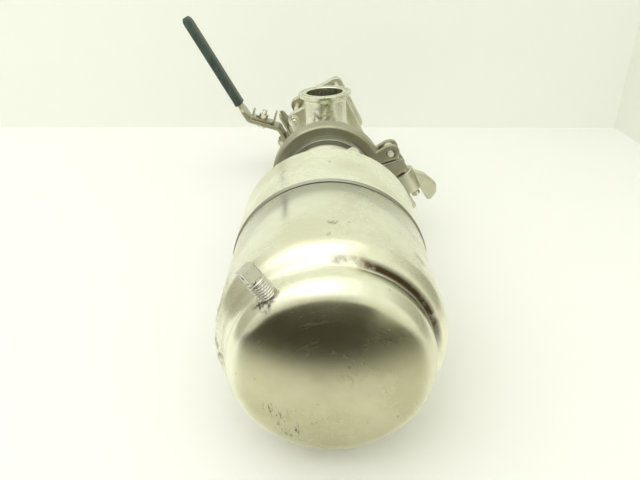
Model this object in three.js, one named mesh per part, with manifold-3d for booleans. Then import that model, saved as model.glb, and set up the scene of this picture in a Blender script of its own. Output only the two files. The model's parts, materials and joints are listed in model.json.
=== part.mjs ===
// Sanitary angle diaphragm valve with a spring-return piston actuator, a hinged
// clamp joint and an in-line three-piece ball valve with a locking lever.
// Millimetres. The main axis runs along Y, dome at -Y, outlet at +Y; the branch points up (+Z).

import * as THREE from 'three';
import { mergeVertices } from 'three/addons/utils/BufferGeometryUtils.js';
import Module from 'manifold-3d';

const wasm = await Module();
wasm.setup();

// ---------------------------------------------------------------- driving dimensions

const GAP = 0.3;                 // free space between neighbouring pieces
const ROUND = 32;                // facets round the actuator
const FINE = 24;                 // facets round a large turned part
const COARSE = 16;               // facets round a small turned part

const TUBE_R = 20;               // outside of the process tubes
const BORE_R = 17.4;             // inside of the process tubes
const FERRULE_R = 25.25;         // 1.5 inch clamp ferrule
const FERRULE_RIM = 2.9;         // straight edge of a ferrule
const FERRULE_TAPER = 3;         // length of the cone behind that edge
const BRANCH_TOP = 56;           // branch ferrule face above the main axis

const JOINT_Y = -80;             // middle of the clamped joint
const DIAPHRAGM_T = 2.4;
const FLANGE_R = 45;             // body and bonnet flanges
const FLANGE_EDGE = 2.3;
const FLANGE_TAPER = 2.3;
const CLAMP_R = 48.5;            // clamp band, outside
const CLAMP_OPENING_R = 39;
const CLAMP_W = 18;
const CLAMP_CLOCK = 60;          // degrees from the branch round to the bolt lugs
const SPLIT_ANGLE = 15;          // degrees from the lugs' radius to the split line
const BOLT_LINE = 57;            // swing bolt's distance from the main axis
const SWING_PIVOT_X = 8;         // swing bolt's pivot along the bolt, from its foot point
const HINGE_R = 54;              // clamp hinge pin's distance from the main axis

const STEM_R = 6;
const ROD_R = 8;

const BASE_FACE_Y = -185;        // actuator base, side towards the bonnet
const BASE_R = 61;
const BASE_EDGE_Y = -242;        // open edge of the base collar
const BASE_BORE_R = 57.4;
const BASE_PLATE = 8;
const SHELL_R = 60.2;
const SHELL_WALL = 3;
const SHOULDER_Y = -313;         // end of the straight shell
const SHOULDER_BEND = 8;
const NECK_R = 51.5;             // shell's end cap
const NECK_END_Y = -332;
const KNUCKLE_R = 12;
const DOME_RISE = 7;
const PISTON_Y = -198;           // piston's face towards the base, valve closed
const PISTON_T = 10;
const SPRING_PLATE_Y = -317.7;
const SPRING_PLATE_T = 3;
const VENT_CLOCK = -32;
const VENT_Y = -334;
const AIR_CLOCK = 22;
const AIR_PORT_R = 51.5;

const BALL_CLOCK = 245;          // degrees from the branch round to the ball valve's stem
const BALL_Y = 100;              // centre of the ball
const BALL_R = 26;
const BALL_BORE_R = 16.5;
const BODY_HALF = 26.7;          // half length of the centre body
const BODY_R = 32;
const CAP_T = 11;                // end cap flange
const CAP_CORNER_R = 7.5;
const BOLT_OFFSET = 25.8;        // body bolts from the flow axis, across each way
const BOLT_R = 3;
const OUTLET_Y = 175;            // outlet ferrule face
const PAD_Z = 41.2;              // top of the stem pad
const LEVER_Z = 50;              // underside of the lever plate
const LEVER_T = 4;
const LEVER_W = 22;
const BEND_X = 20;               // where the lever turns outwards
const BEND_RUN = 25;             // the 45 degree stretch, along and across
const GRIP_X = 62;
const GRIP_LENGTH = 106;
const GRIP_T = 8.4;
const GRIP_W = 22;
const GRIP_ANGLE = 1.2;          // grip's lean away from the valve, degrees
const LOCK_S = 20.5;             // lock bolt along the sloping stretch
const LOCK_TRAVEL = 5;           // from free to engaged, down the slope

// ---------------------------------------------------------------- materials

const finish = (color, roughness, metalness) =>
  new THREE.MeshStandardMaterial({ color, roughness, metalness });

const satinSteel = () => finish(0xd9d8c6, 0.34, 1);
const castSteel = () => finish(0xa9a794, 0.5, 1);
const darkSteel = () => finish(0x6a675a, 0.5, 1);
const brightSteel = () => finish(0xe4e3d6, 0.25, 1);
const springSteel = () => finish(0x55554f, 0.45, 1);
const polymer = () => finish(0xf0efe6, 0.6, 0);
const elastomer = () => finish(0x1c1c1c, 0.8, 0);
const vinyl = () => finish(0x2c3a33, 0.55, 0);

// ---------------------------------------------------------------- solids

const radians = THREE.MathUtils.degToRad;

// A closed geometry as a solid, turned outwards when its faces point in.
function solid(geometry, matrix = new THREE.Matrix4()) {
  const plain = geometry.clone();
  plain.deleteAttribute('normal');
  plain.deleteAttribute('uv');
  plain.applyMatrix4(matrix);
  const merged = mergeVertices(plain, 1e-4);
  const points = merged.attributes.position.array;
  const source = Array.from(merged.index.array);
  const corners = [];
  for (let i = 0; i < source.length; i += 3) {
    const [a, b, c] = source.slice(i, i + 3);
    if (a !== b && b !== c && c !== a) corners.push(a, b, c);
  }
  let volume = 0;
  const at = (k) => new THREE.Vector3().fromArray(points, 3 * k);
  for (let i = 0; i < corners.length; i += 3) {
    volume += at(corners[i]).dot(at(corners[i + 1]).cross(at(corners[i + 2])));
  }
  if (volume < 0) corners.reverse();
  return new wasm.Manifold(new wasm.Mesh({
    numProp: 3,
    vertProperties: new Float32Array(points),
    triVerts: new Uint32Array(corners),
  }));
}

function piece(name, shape, material) {
  const { vertProperties, triVerts, numProp } = shape.getMesh();
  const positions = [];
  for (let i = 0; i < vertProperties.length; i += numProp) {
    positions.push(vertProperties[i], vertProperties[i + 1], vertProperties[i + 2]);
  }
  const geometry = new THREE.BufferGeometry();
  geometry.setAttribute('position', new THREE.Float32BufferAttribute(positions, 3));
  geometry.setIndex(Array.from(triVerts));
  geometry.computeVertexNormals();
  const mesh = new THREE.Mesh(geometry, material);
  mesh.name = name;
  return mesh;
}

const move = (x, y, z) => new THREE.Matrix4().makeTranslation(x, y, z);

// A closed outline of [radius, y] points turned about the Y axis.
function turned(outline, segments = FINE) {
  const points = outline.map(([r, y]) => new THREE.Vector2(r, y));
  const onAxis = outline[0][0] === 0 && outline[outline.length - 1][0] === 0;
  if (!onAxis) points.push(points[0].clone());
  return solid(new THREE.LatheGeometry(points, segments));
}

const ring = (inner, outer, y0, y1, segments = COARSE) =>
  turned([[inner, y0], [outer, y0], [outer, y1], [inner, y1]], segments);

function rodY(radius, y0, y1, x = 0, z = 0, segments = COARSE) {
  const shape = new THREE.CylinderGeometry(radius, radius, y1 - y0, segments);
  return solid(shape, move(x, (y0 + y1) / 2, z));
}

function rodZ(radius, z0, z1, x = 0, y = 0, segments = COARSE, top = radius) {
  const shape = new THREE.CylinderGeometry(top, radius, z1 - z0, segments).rotateX(Math.PI / 2);
  return solid(shape, move(x, y, (z0 + z1) / 2));
}

function rodX(radius, x0, x1, y = 0, z = 0, segments = COARSE, end = radius) {
  const shape = new THREE.CylinderGeometry(end, radius, x1 - x0, segments).rotateZ(-Math.PI / 2);
  return solid(shape, move((x0 + x1) / 2, y, z));
}

function block(x0, x1, y0, y1, z0, z1) {
  const shape = new THREE.BoxGeometry(x1 - x0, y1 - y0, z1 - z0);
  return solid(shape, move((x0 + x1) / 2, (y0 + y1) / 2, (z0 + z1) / 2));
}

// An outline in the XZ plane, given as [x, z] points, carried from y0 to y1.
function plateY(outline, y0, y1) {
  const shape = new THREE.Shape(outline.map(([x, z]) => new THREE.Vector2(x, z)));
  const geometry = new THREE.ExtrudeGeometry(shape, { depth: y1 - y0, bevelEnabled: false });
  return solid(geometry.rotateX(Math.PI / 2), move(0, y1, 0));
}

function arc(cx, cy, radius, from, to, steps) {
  const points = [];
  for (let i = 0; i <= steps; i += 1) {
    const a = radians(from + (to - from) * i / steps);
    points.push([cx + radius * Math.cos(a), cy + radius * Math.sin(a)]);
  }
  return points;
}

// ---------------------------------------------------------------- valve body

// Flange profile on one side of the joint: side is +1 for the body, -1 for the bonnet.
function flangeOutline(side) {
  const face = JOINT_Y + side * DIAPHRAGM_T / 2;
  const edge = face + side * FLANGE_EDGE;
  return [[FLANGE_R, face], [FLANGE_R, edge], [38.6, edge + side * FLANGE_TAPER]];
}

const SEAT_TOP = [26.5, 16];
const SEAT_END = [BORE_R, 31];
const VALVE_BODY_END = 57.7;

const seatRadius = (y) =>
  SEAT_TOP[0] + (y - SEAT_TOP[1]) * (SEAT_END[0] - SEAT_TOP[0]) / (SEAT_END[1] - SEAT_TOP[1]);

function ferruleOutline(face) {
  return [
    [TUBE_R, face - FERRULE_RIM - FERRULE_TAPER],
    [FERRULE_R, face - FERRULE_RIM],
    [FERRULE_R, face],
  ];
}

function valveBody() {
  const face = JOINT_Y + DIAPHRAGM_T / 2;
  const bowl = turned([
    ...flangeOutline(1), [36, -72], [36, -48], [30, -14], [30, 14], [24, 28],
    [TUBE_R, 34], [TUBE_R, VALVE_BODY_END], [BORE_R, VALVE_BODY_END],
    SEAT_END.slice(), SEAT_TOP.slice(), [26.5, -14], [32.5, -48], [32.5, face],
  ]);
  const branchOutline = [[0, 18], [TUBE_R, 18], ...ferruleOutline(BRANCH_TOP), [0, BRANCH_TOP]];
  const upright = new THREE.LatheGeometry(
    branchOutline.map(([r, y]) => new THREE.Vector2(r, y)), FINE).rotateX(Math.PI / 2);
  const chamber = turned([
    [0, SEAT_END[1]], SEAT_END, SEAT_TOP, [26.5, -14], [32.5, -48], [32.5, -60], [0, -60],
  ]);
  const branch = solid(upright).subtract(chamber);
  const bore = rodZ(BORE_R, 10, BRANCH_TOP + 1, 0, 0, FINE);
  return bowl.add(branch).subtract(bore);
}

// ---------------------------------------------------------------- bonnet, stem and diaphragm

const BUSH_TOP_Y = -105;
const BUSH_END_Y = -120;
const YOKE_BORE_R = 20;
const BONNET_END_Y = BASE_FACE_Y + GAP;
const BONNET_FLANGE_Y = -176;
const SCREW_CIRCLE_R = 31.5;

function bonnet() {
  const face = JOINT_Y - DIAPHRAGM_T / 2;
  let shape = turned([
    ...flangeOutline(-1), [35, -86.5], [35, -98], [26, -110], [26, BONNET_FLANGE_Y],
    [38, BONNET_FLANGE_Y], [38, BONNET_END_Y], [YOKE_BORE_R, BONNET_END_Y],
    [YOKE_BORE_R, BUSH_END_Y], [9.3, BUSH_END_Y], [9.3, BUSH_TOP_Y], [23, BUSH_TOP_Y],
    [23, -97], [30, -88], [30, face],
  ]);
  shape = shape.subtract(block(-40, 40, -162, -126, -13, 13));
  for (let k = 0; k < 4; k += 1) {
    const a = radians(45 + 90 * k);
    const x = SCREW_CIRCLE_R * Math.sin(a);
    const z = SCREW_CIRCLE_R * Math.cos(a);
    shape = shape.subtract(rodY(2.8, -190, -170, x, z, 12));
  }
  return shape;
}

const bonnetBush = () => ring(STEM_R + 0.25, 9, BUSH_END_Y + 0.5, BUSH_TOP_Y - 0.5);

function diaphragm() {
  const half = DIAPHRAGM_T / 2 - 0.1;
  return turned([
    [STEM_R + GAP, JOINT_Y - half], [FLANGE_R - 0.5, JOINT_Y - half],
    [FLANGE_R - 0.5, JOINT_Y + half], [STEM_R + GAP, JOINT_Y + half],
  ], FINE);
}

const COUPLING_Y = -139.7;

function valveStem() {
  return turned([
    [0, COUPLING_Y + 0.2], [STEM_R, COUPLING_Y + 0.2], [STEM_R, -78.5], [12, -78.5], [12, -75],
    [STEM_R, -73], [STEM_R, 10], [9, 14], [21.5, 14], [21.5, 18.7], [10, 19], [10, 27],
    [14.5, 27], [14.5, 29.5], [10, 31.5], [0, 31.5],
  ], COARSE);
}

function plugSeal() {
  return turned([
    [10.3, 19.4], [seatRadius(19.4) - 0.5, 19.4], [seatRadius(26.7) - 0.5, 26.7], [10.3, 26.7],
  ], FINE);
}

const compressor = () => turned([
  [STEM_R + GAP, -81.6], [18, -81.6], [21, -83.5], [21, -85.5], [12, -88.5], [STEM_R + GAP, -88.5],
]);

function stemCoupling() {
  return turned([
    [ROD_R + GAP, -151], [12, -151], [12.8, -150], [12.8, -129], [12, -128], [STEM_R + GAP, -128],
    [STEM_R + GAP, COUPLING_Y], [ROD_R + GAP, COUPLING_Y - 0.1],
  ]);
}

// ---------------------------------------------------------------- actuator

const ROD_BORE_R = 11.3;
const SPIGOT_END_Y = -177;

function actuatorBase() {
  const plateY = BASE_FACE_Y - BASE_PLATE;
  let shape = turned([
    [BASE_R - 1, BASE_FACE_Y], [BASE_R, BASE_FACE_Y - 1], [BASE_R, BASE_EDGE_Y + 1.8],
    [BASE_R - 1.2, BASE_EDGE_Y], [BASE_BORE_R, BASE_EDGE_Y], [BASE_BORE_R, plateY],
    [ROD_BORE_R, plateY], [ROD_BORE_R, SPIGOT_END_Y], [YOKE_BORE_R - GAP, SPIGOT_END_Y],
    [YOKE_BORE_R - GAP, BASE_FACE_Y],
  ], ROUND);
  for (let k = 0; k < 4; k += 1) {
    const a = radians(45 + 90 * k);
    const x = SCREW_CIRCLE_R * Math.sin(a);
    const z = SCREW_CIRCLE_R * Math.cos(a);
    shape = shape.subtract(rodY(2.8, BASE_FACE_Y - 6.5, BASE_FACE_Y + 1, x, z, 12));
  }
  const port = radians(AIR_CLOCK);
  const x = AIR_PORT_R * Math.sin(port);
  const z = AIR_PORT_R * Math.cos(port);
  return shape.subtract(rodY(4.9, plateY - 1, BASE_FACE_Y + 1, x, z, 16));
}

const SHELL_EDGE_Y = BASE_EDGE_Y - 1.8;

function shellOutline(inset, steps) {
  const r = SHELL_R - inset;
  const neck = NECK_R - inset;
  const bend = SHOULDER_BEND - inset;
  const shoulderEnd = SHOULDER_Y - bend;
  const knuckle = KNUCKLE_R - inset;
  const crownR = neck - knuckle;
  const crownY = NECK_END_Y - knuckle;
  const crown = [0.66, 0.33, 0].map((t) => [crownR * t, crownY - DOME_RISE * (1 - t * t)]);
  return [
    ...arc(r - bend, SHOULDER_Y, bend, 0, -90, steps),
    [neck, shoulderEnd - 1.5],
    ...arc(crownR, NECK_END_Y, knuckle, 0, -90, steps + 1),
    ...crown,
  ].filter(([x], i, all) => i === 0 || x <= all[i - 1][0] + 1e-9);
}

// The spun shell: a spigot inside the base collar, a straight wall, a shoulder, a neck and a dome.
function actuatorShell() {
  const spigotR = BASE_BORE_R - GAP;
  const outside = [
    [spigotR, -227], [spigotR, SHELL_EDGE_Y], [SHELL_R, SHELL_EDGE_Y], ...shellOutline(0, 3),
  ];
  const inside = [
    ...shellOutline(SHELL_WALL, 2).reverse(), [spigotR - 2.6, -246], [spigotR - 2.6, -227],
  ];
  const shape = turned([...outside, ...inside], ROUND);
  const port = solid(new THREE.CylinderGeometry(5.1, 5.1, 30, 16).rotateX(Math.PI / 2)
    .translate(0, VENT_Y, NECK_R).rotateY(radians(VENT_CLOCK)));
  return shape.subtract(port);
}

const SPIGOT_RING_R = BASE_BORE_R + 0.1;

const retainingRing = () =>
  ring(SPIGOT_RING_R, SHELL_R - 0.9, BASE_EDGE_Y - 1.5, BASE_EDGE_Y - 0.3, ROUND);

const rodBush = () => ring(ROD_R + 0.25, 11, -189.5, -178);
const rodSeal = () => ring(ROD_R + 0.3, 11, -192.6, -190);

function piston() {
  const far = PISTON_Y - PISTON_T;
  return turned([
    [STEM_R + GAP, PISTON_Y], [56.9, PISTON_Y], [56.9, -200.4], [52.6, -200.4], [52.6, -205.6],
    [56.9, -205.6], [56.9, far], [STEM_R + GAP, far],
  ], ROUND);
}

const pistonSeal = () => ring(52.9, 57.1, -205.3, -200.7, ROUND);

const pistonRod = () => turned([
  [0, COUPLING_Y - 0.5], [ROD_R, COUPLING_Y - 0.5], [ROD_R, PISTON_Y + GAP],
  [STEM_R, PISTON_Y + GAP], [STEM_R, -221], [5, -222], [0, -222],
], COARSE);

function hexY(acrossFlats, y0, y1, x = 0, z = 0) {
  return rodY(acrossFlats / Math.sqrt(3), y0, y1, x, z, 6);
}

const pistonNut = () => hexY(19, -217, -208.3).subtract(rodY(STEM_R + GAP, -230, -200));

class Helix extends THREE.Curve {
  constructor(radius, from, to, turns) {
    super();
    Object.assign(this, { radius, from, to, turns });
  }

  getPoint(t) {
    const a = 2 * Math.PI * this.turns * t;
    const y = this.from + (this.to - this.from) * t;
    return new THREE.Vector3(this.radius * Math.cos(a), y, this.radius * Math.sin(a));
  }
}

function spring(radius, wire, turns) {
  const from = PISTON_Y - PISTON_T - wire - 0.5;
  const to = SPRING_PLATE_Y + SPRING_PLATE_T + wire + 0.5;
  const section = new THREE.Shape();
  section.absarc(0, 0, wire, 0, 2 * Math.PI, false);
  return solid(new THREE.ExtrudeGeometry(section, {
    steps: turns * 10,
    curveSegments: 3,
    extrudePath: new Helix(radius, from, to, turns),
  }));
}

const springPlate = () =>
  ring(12, 52, SPRING_PLATE_Y, SPRING_PLATE_Y + SPRING_PLATE_T, FINE);

// Square-head pipe plug, drilled through the head, standing along +Z.
function ventPlug() {
  const thread = rodZ(4.2, NECK_R - 3.5, NECK_R + 8, 0, 0, 16, 4.8);
  const neck = rodZ(3.9, NECK_R + 7.5, NECK_R + 10, 0, 0, 16);
  const head = block(-3.7, 3.7, -3.7, 3.7, NECK_R + 9.5, NECK_R + 16);
  const vent = rodX(0.9, -5, 5, 0, NECK_R + 13.2, 8);
  return thread.add(neck).add(head).subtract(vent);
}

function airFitting() {
  const thread = rodY(4.6, BASE_FACE_Y - BASE_PLATE + 0.5, BASE_FACE_Y + 1, 0, 0, 16);
  const hex = hexY(12, BASE_FACE_Y + GAP, -175);
  const sleeve = rodY(5.2, -175.5, -161, 0, 0, 16);
  const passage = rodY(2.6, -200, -150, 0, 0, 12);
  return thread.add(hex).add(sleeve).subtract(passage);
}

function mountingScrew() {
  const head = rodY(4.2, BONNET_FLANGE_Y + GAP, BONNET_FLANGE_Y + 5.3, 0, 0, 16);
  const shank = rodY(2.5, -190.5, BONNET_FLANGE_Y + 1, 0, 0, 12);
  const socket = hexY(4, BONNET_FLANGE_Y + 2.8, BONNET_FLANGE_Y + 6);
  return head.add(shank).subtract(socket);
}

// ---------------------------------------------------------------- clamp

function clampBand() {
  const half = CLAMP_W / 2;
  const groove = DIAPHRAGM_T / 2 + FLANGE_EDGE + 0.7;
  return turned([
    [CLAMP_OPENING_R, JOINT_Y - half], [CLAMP_R - 1, JOINT_Y - half],
    [CLAMP_R, JOINT_Y - half + 1], [CLAMP_R, JOINT_Y + half - 1],
    [CLAMP_R - 1, JOINT_Y + half], [CLAMP_OPENING_R, JOINT_Y + half],
    [CLAMP_OPENING_R, JOINT_Y + groove + 2.4], [FLANGE_R + 0.6, JOINT_Y + groove],
    [FLANGE_R + 0.6, JOINT_Y - groove], [CLAMP_OPENING_R, JOINT_Y - groove - 2.4],
  ], ROUND);
}

// All of the side of the split plane that a half keeps: side -1 holds the pivot lug.
function halfSpace(side) {
  const reach = 200;
  const inset = 0.6;
  const low = side < 0 ? -reach : inset;
  const high = side < 0 ? -inset : reach;
  const shape = new THREE.BoxGeometry(high - low, 60, 2 * reach);
  shape.translate((low + high) / 2, JOINT_Y, 0);
  return solid(shape.rotateY(radians(SPLIT_ANGLE)));
}

const hingeX = -HINGE_R * Math.sin(radians(SPLIT_ANGLE));
const hingeZ = -HINGE_R * Math.cos(radians(SPLIT_ANGLE));

function knuckle(y0, y1) {
  return rodY(6, y0, y1, hingeX, hingeZ, 16);
}

// Upper half: the fork that carries the swing bolt, and the middle hinge knuckle.
function clampUpperHalf() {
  const half = CLAMP_W / 2;
  const fork = block(0, 16, JOINT_Y - half, JOINT_Y + half, 44, 65)
    .subtract(block(-20, 40, JOINT_Y - 4.3, JOINT_Y + 4.3, 49, 80))
    .subtract(rodY(3.2, -100, -60, SWING_PIVOT_X, BOLT_LINE, 16));
  const middle = knuckle(JOINT_Y - 4.5, JOINT_Y + 4.5);
  const groove = rodY(FLANGE_R + 0.6, JOINT_Y - half, JOINT_Y + half, 0, 0, ROUND);
  const band = clampBand().add(fork.subtract(groove)).intersect(halfSpace(-1));
  const clearance = rodY(6.6, JOINT_Y - 20, JOINT_Y - 4.2, hingeX, hingeZ, 16)
    .add(rodY(6.6, JOINT_Y + 4.2, JOINT_Y + 20, hingeX, hingeZ, 16));
  return band.subtract(clearance).add(middle.subtract(groove))
    .subtract(rodY(3.3, -100, -60, hingeX, hingeZ, 16));
}

// Lower half: the open-slotted lug under the wing nut, and the two outer knuckles.
function clampLowerHalf() {
  const half = CLAMP_W / 2;
  const lug = block(8, 28.5, JOINT_Y - half, JOINT_Y + half, 42, 63)
    .subtract(block(0, 60, JOINT_Y - 4.3, JOINT_Y + 4.3, 51, 80));
  const groove = rodY(FLANGE_R + 0.6, JOINT_Y - half, JOINT_Y + half, 0, 0, ROUND);
  const band = clampBand().add(lug.subtract(groove)).intersect(halfSpace(1));
  const clearance = rodY(6.6, JOINT_Y - 4.9, JOINT_Y + 4.9, hingeX, hingeZ, 16);
  const outer = knuckle(JOINT_Y - half, JOINT_Y - 4.9).add(knuckle(JOINT_Y + 4.9, JOINT_Y + half));
  return band.subtract(clearance).add(outer.subtract(groove))
    .subtract(rodY(3.3, -100, -60, hingeX, hingeZ, 16));
}

function hingePin() {
  const half = CLAMP_W / 2;
  return rodY(3, JOINT_Y - half - 1, JOINT_Y + half + 1, 0, 0, 16)
    .add(rodY(4.4, JOINT_Y + half + GAP, JOINT_Y + half + 2, 0, 0, 16));
}

const BOLT_END_X = 56;
const NUT_X = 30.6;

function swingBolt() {
  const eye = rodY(6, JOINT_Y - 3.9, JOINT_Y + 3.9, SWING_PIVOT_X, BOLT_LINE, 16);
  const shank = rodX(3.9, SWING_PIVOT_X + 3, BOLT_END_X, JOINT_Y, BOLT_LINE, 16);
  const hole = rodY(3.2, -100, -60, SWING_PIVOT_X, BOLT_LINE, 16);
  return eye.add(shank).subtract(hole);
}

// Cast wing nut along +X: a tapered hub and two thick wings that flare away from the lug.
function wingNut() {
  const hub = rodX(9.2, NUT_X, NUT_X + 20, JOINT_Y, BOLT_LINE, COARSE, 7.6);
  const outline = [
    [NUT_X + 5, 0], [NUT_X + 4, 8.5], [NUT_X + 12, 14.5], [NUT_X + 25, 19], [NUT_X + 32, 15.5],
    [NUT_X + 35.5, 8.5], [NUT_X + 34, 5.5], [NUT_X + 19.5, 5.5], [NUT_X + 19, 0],
  ];
  const up = outline.map(([x, z]) => [x, BOLT_LINE + z]);
  const down = outline.map(([x, z]) => [x, BOLT_LINE - z]).reverse();
  const wings = plateY(up, JOINT_Y - 3.6, JOINT_Y + 3.6)
    .add(plateY(down, JOINT_Y - 3.6, JOINT_Y + 3.6));
  const thread = rodX(4.2, 0, 80, JOINT_Y, BOLT_LINE, 16);
  return hub.add(wings).subtract(thread);
}

// ---------------------------------------------------------------- ball valve, stem along +Z

function roundedSquare(half, radius) {
  const inner = half - radius;
  const corner = (sx, sz, from) => arc(sx * inner, sz * inner, radius, from, from + 90, 4);
  return [...corner(1, 1, 0), ...corner(-1, 1, 90), ...corner(-1, -1, 180), ...corner(1, -1, 270)];
}

const boltPlaces = [[1, 1], [-1, 1], [-1, -1], [1, -1]]
  .map(([sx, sz]) => [sx * BOLT_OFFSET, sz * BOLT_OFFSET]);

function drillBolts(shape, y0, y1) {
  return boltPlaces.reduce((cut, [x, z]) => cut.subtract(rodY(BOLT_R + 0.3, y0, y1, x, z, 12)), shape);
}

const CAP_INNER = BODY_HALF + GAP;
const CAP_OUTER = CAP_INNER + CAP_T;

function inletEndCap() {
  const flange = plateY(roundedSquare(BOLT_OFFSET + CAP_CORNER_R, CAP_CORNER_R),
    BALL_Y - CAP_OUTER, BALL_Y - CAP_INNER);
  const stub = rodY(TUBE_R, VALVE_BODY_END + GAP, BALL_Y - CAP_OUTER + 1, 0, 0, FINE)
    .add(turned([[0, 59.5], [TUBE_R, 59.5], [26, 62.5], [0, 62.5]]));
  const bore = rodY(BORE_R, 50, BALL_Y, 0, 0, FINE);
  return drillBolts(flange.add(stub).subtract(bore), 50, 90);
}

function outletEndCap() {
  const start = BALL_Y + CAP_INNER;
  const flange = plateY(roundedSquare(BOLT_OFFSET + CAP_CORNER_R, CAP_CORNER_R), start, start + CAP_T);
  const stub = turned([
    [0, start + 5], [26, start + 5], [26, start + CAP_T + 1], [TUBE_R, start + CAP_T + 6],
    ...ferruleOutline(OUTLET_Y), [0, OUTLET_Y],
  ]);
  const bore = rodY(BORE_R, BALL_Y, OUTLET_Y + 5, 0, 0, FINE);
  return drillBolts(flange.add(stub).subtract(bore), 110, 150);
}

function centreBody() {
  const barrel = rodY(BODY_R, BALL_Y - BODY_HALF, BALL_Y + BODY_HALF, 0, 0, FINE);
  const pad = block(-17, 17, BALL_Y - 15, BALL_Y + 15, 0, PAD_Z);
  const cavity = rodY(BALL_R + 0.7, BALL_Y - 40, BALL_Y + 40, 0, 0, FINE);
  const stemHole = rodZ(6.9, 10, 50, 0, BALL_Y);
  const box = rodZ(10, 31, 50, 0, BALL_Y);
  return barrel.add(pad).subtract(cavity).subtract(stemHole).subtract(box);
}

// Seat ring between the ball and an end cap; side is -1 or +1 along the flow.
function ballSeat(side) {
  const sphere = BALL_R + 0.35;
  const lip = [16.9, 19.4, 22].map((r) => [r, Math.sqrt(sphere * sphere - r * r)]);
  const outline = [...lip, [BALL_R + 0.4, lip[2][1]], [BALL_R + 0.4, BODY_HALF], [16.9, BODY_HALF]];
  return turned(outline.map(([r, y]) => [r, BALL_Y + side * y]), FINE);
}

function ball() {
  const round = new THREE.SphereGeometry(BALL_R, 20, 12).rotateX(Math.PI / 2);
  const sphere = solid(round, move(0, BALL_Y, 0));
  const bore = rodX(BALL_BORE_R, -40, 40, BALL_Y, 0, FINE);
  const slot = block(-40, 40, BALL_Y - 3.6, BALL_Y + 3.6, 20.5, 30);
  return sphere.subtract(bore).subtract(slot);
}

const STEM_TOP_Z = 62.5;

function ballStem() {
  const shaft = rodZ(6.5, 26.4, STEM_TOP_Z, 0, BALL_Y);
  const tang = block(-6, 6, BALL_Y - 3.2, BALL_Y + 3.2, 20.9, 27);
  const flats = block(-4.7, 4.7, BALL_Y - 10, BALL_Y + 10, 44, 80)
    .add(block(-10, 10, BALL_Y - 10, BALL_Y + 10, 0, 44.2));
  return shaft.add(tang).intersect(flats);
}

const stemPacking = () => rodZ(9.7, 31.3, 35, 0, BALL_Y).subtract(rodZ(6.8, 30, 40, 0, BALL_Y));

function gland() {
  return rodZ(9.7, 35.3, 42, 0, BALL_Y).add(rodZ(9.7, 41, 43.6, 0, BALL_Y))
    .subtract(rodZ(6.8, 30, 50, 0, BALL_Y));
}

const NOTCH_R = 28.5;

// Round stop plate with a notch for the lock at the closed and at the open position.
function stopPlate() {
  let plate = rodZ(34, PAD_Z + GAP, 44, 0, BALL_Y, FINE)
    .intersect(block(-15, 40, BALL_Y - 15, BALL_Y + 40, 0, 60));
  plate = plate.subtract(rodZ(10.4, 30, 60, 0, BALL_Y));
  const closed = block(NOTCH_R, 60, BALL_Y - 5.4, BALL_Y + 5.4, 30, 60);
  const open = block(-5.4, 5.4, BALL_Y + NOTCH_R, BALL_Y + 60, 30, 60);
  return plate.subtract(closed).subtract(open);
}

const springWasher = () =>
  rodZ(11.5, 44.4, 46, 0, BALL_Y, COARSE, 9.5).subtract(rodZ(6.8, 40, 50, 0, BALL_Y));

function stemNut(z0, z1, acrossFlats) {
  return rodZ(acrossFlats / Math.sqrt(3), z0, z1, 0, BALL_Y, 6).subtract(rodZ(6.8, 30, 80, 0, BALL_Y));
}

// Corners of the lever's upper and lower faces, in its own XZ plane.
function leverOutline() {
  const t = LEVER_T;
  const k = t * Math.tan(radians(22.5));
  const endX = BEND_X + BEND_RUN;
  const endZ = LEVER_Z + BEND_RUN;
  return [
    [-13, LEVER_Z], [BEND_X, LEVER_Z], [endX, endZ], [GRIP_X, endZ + 1.1],
    [GRIP_X, endZ + 1.1 + t], [endX - k, endZ + t], [BEND_X - k, LEVER_Z + t], [-13, LEVER_Z + t],
  ];
}

// Frame of the straight grip stretch: +X along it, turned by the lean.
function alongGrip(geometry) {
  const centreZ = LEVER_Z + BEND_RUN + 1.1 + LEVER_T / 2;
  geometry.rotateY(-radians(GRIP_ANGLE)).translate(GRIP_X, BALL_Y, centreZ);
  return solid(geometry);
}

const TANG_LENGTH = 84;
const TANG_W = 14;

function lever() {
  const plate = plateY(leverOutline(), BALL_Y - LEVER_W / 2, BALL_Y + LEVER_W / 2);
  const bar = new THREE.BoxGeometry(TANG_LENGTH + 4, TANG_W, LEVER_T);
  const tang = alongGrip(bar.translate(TANG_LENGTH / 2 - 2, 0, 0));
  const stemHole = rodZ(6.8, 40, 60, 0, BALL_Y).intersect(block(-5, 5, 80, 120, 40, 60));
  const slope = new THREE.CylinderGeometry(3.3, 3.3, 20, 12).rotateX(Math.PI / 2);
  return plate.add(tang).subtract(stemHole).subtract(acrossSlope(slope));
}

// Frame of the sloping stretch: +X up the slope, -Z towards the valve, origin at its start.
function acrossSlope(geometry, along = LOCK_S) {
  const startZ = LEVER_Z + LEVER_T / 2;
  const startX = BEND_X - LEVER_T / 2 * Math.tan(radians(22.5));
  geometry.translate(along, 0, 0).rotateY(-radians(45)).translate(startX, BALL_Y, startZ);
  return solid(geometry);
}

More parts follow.
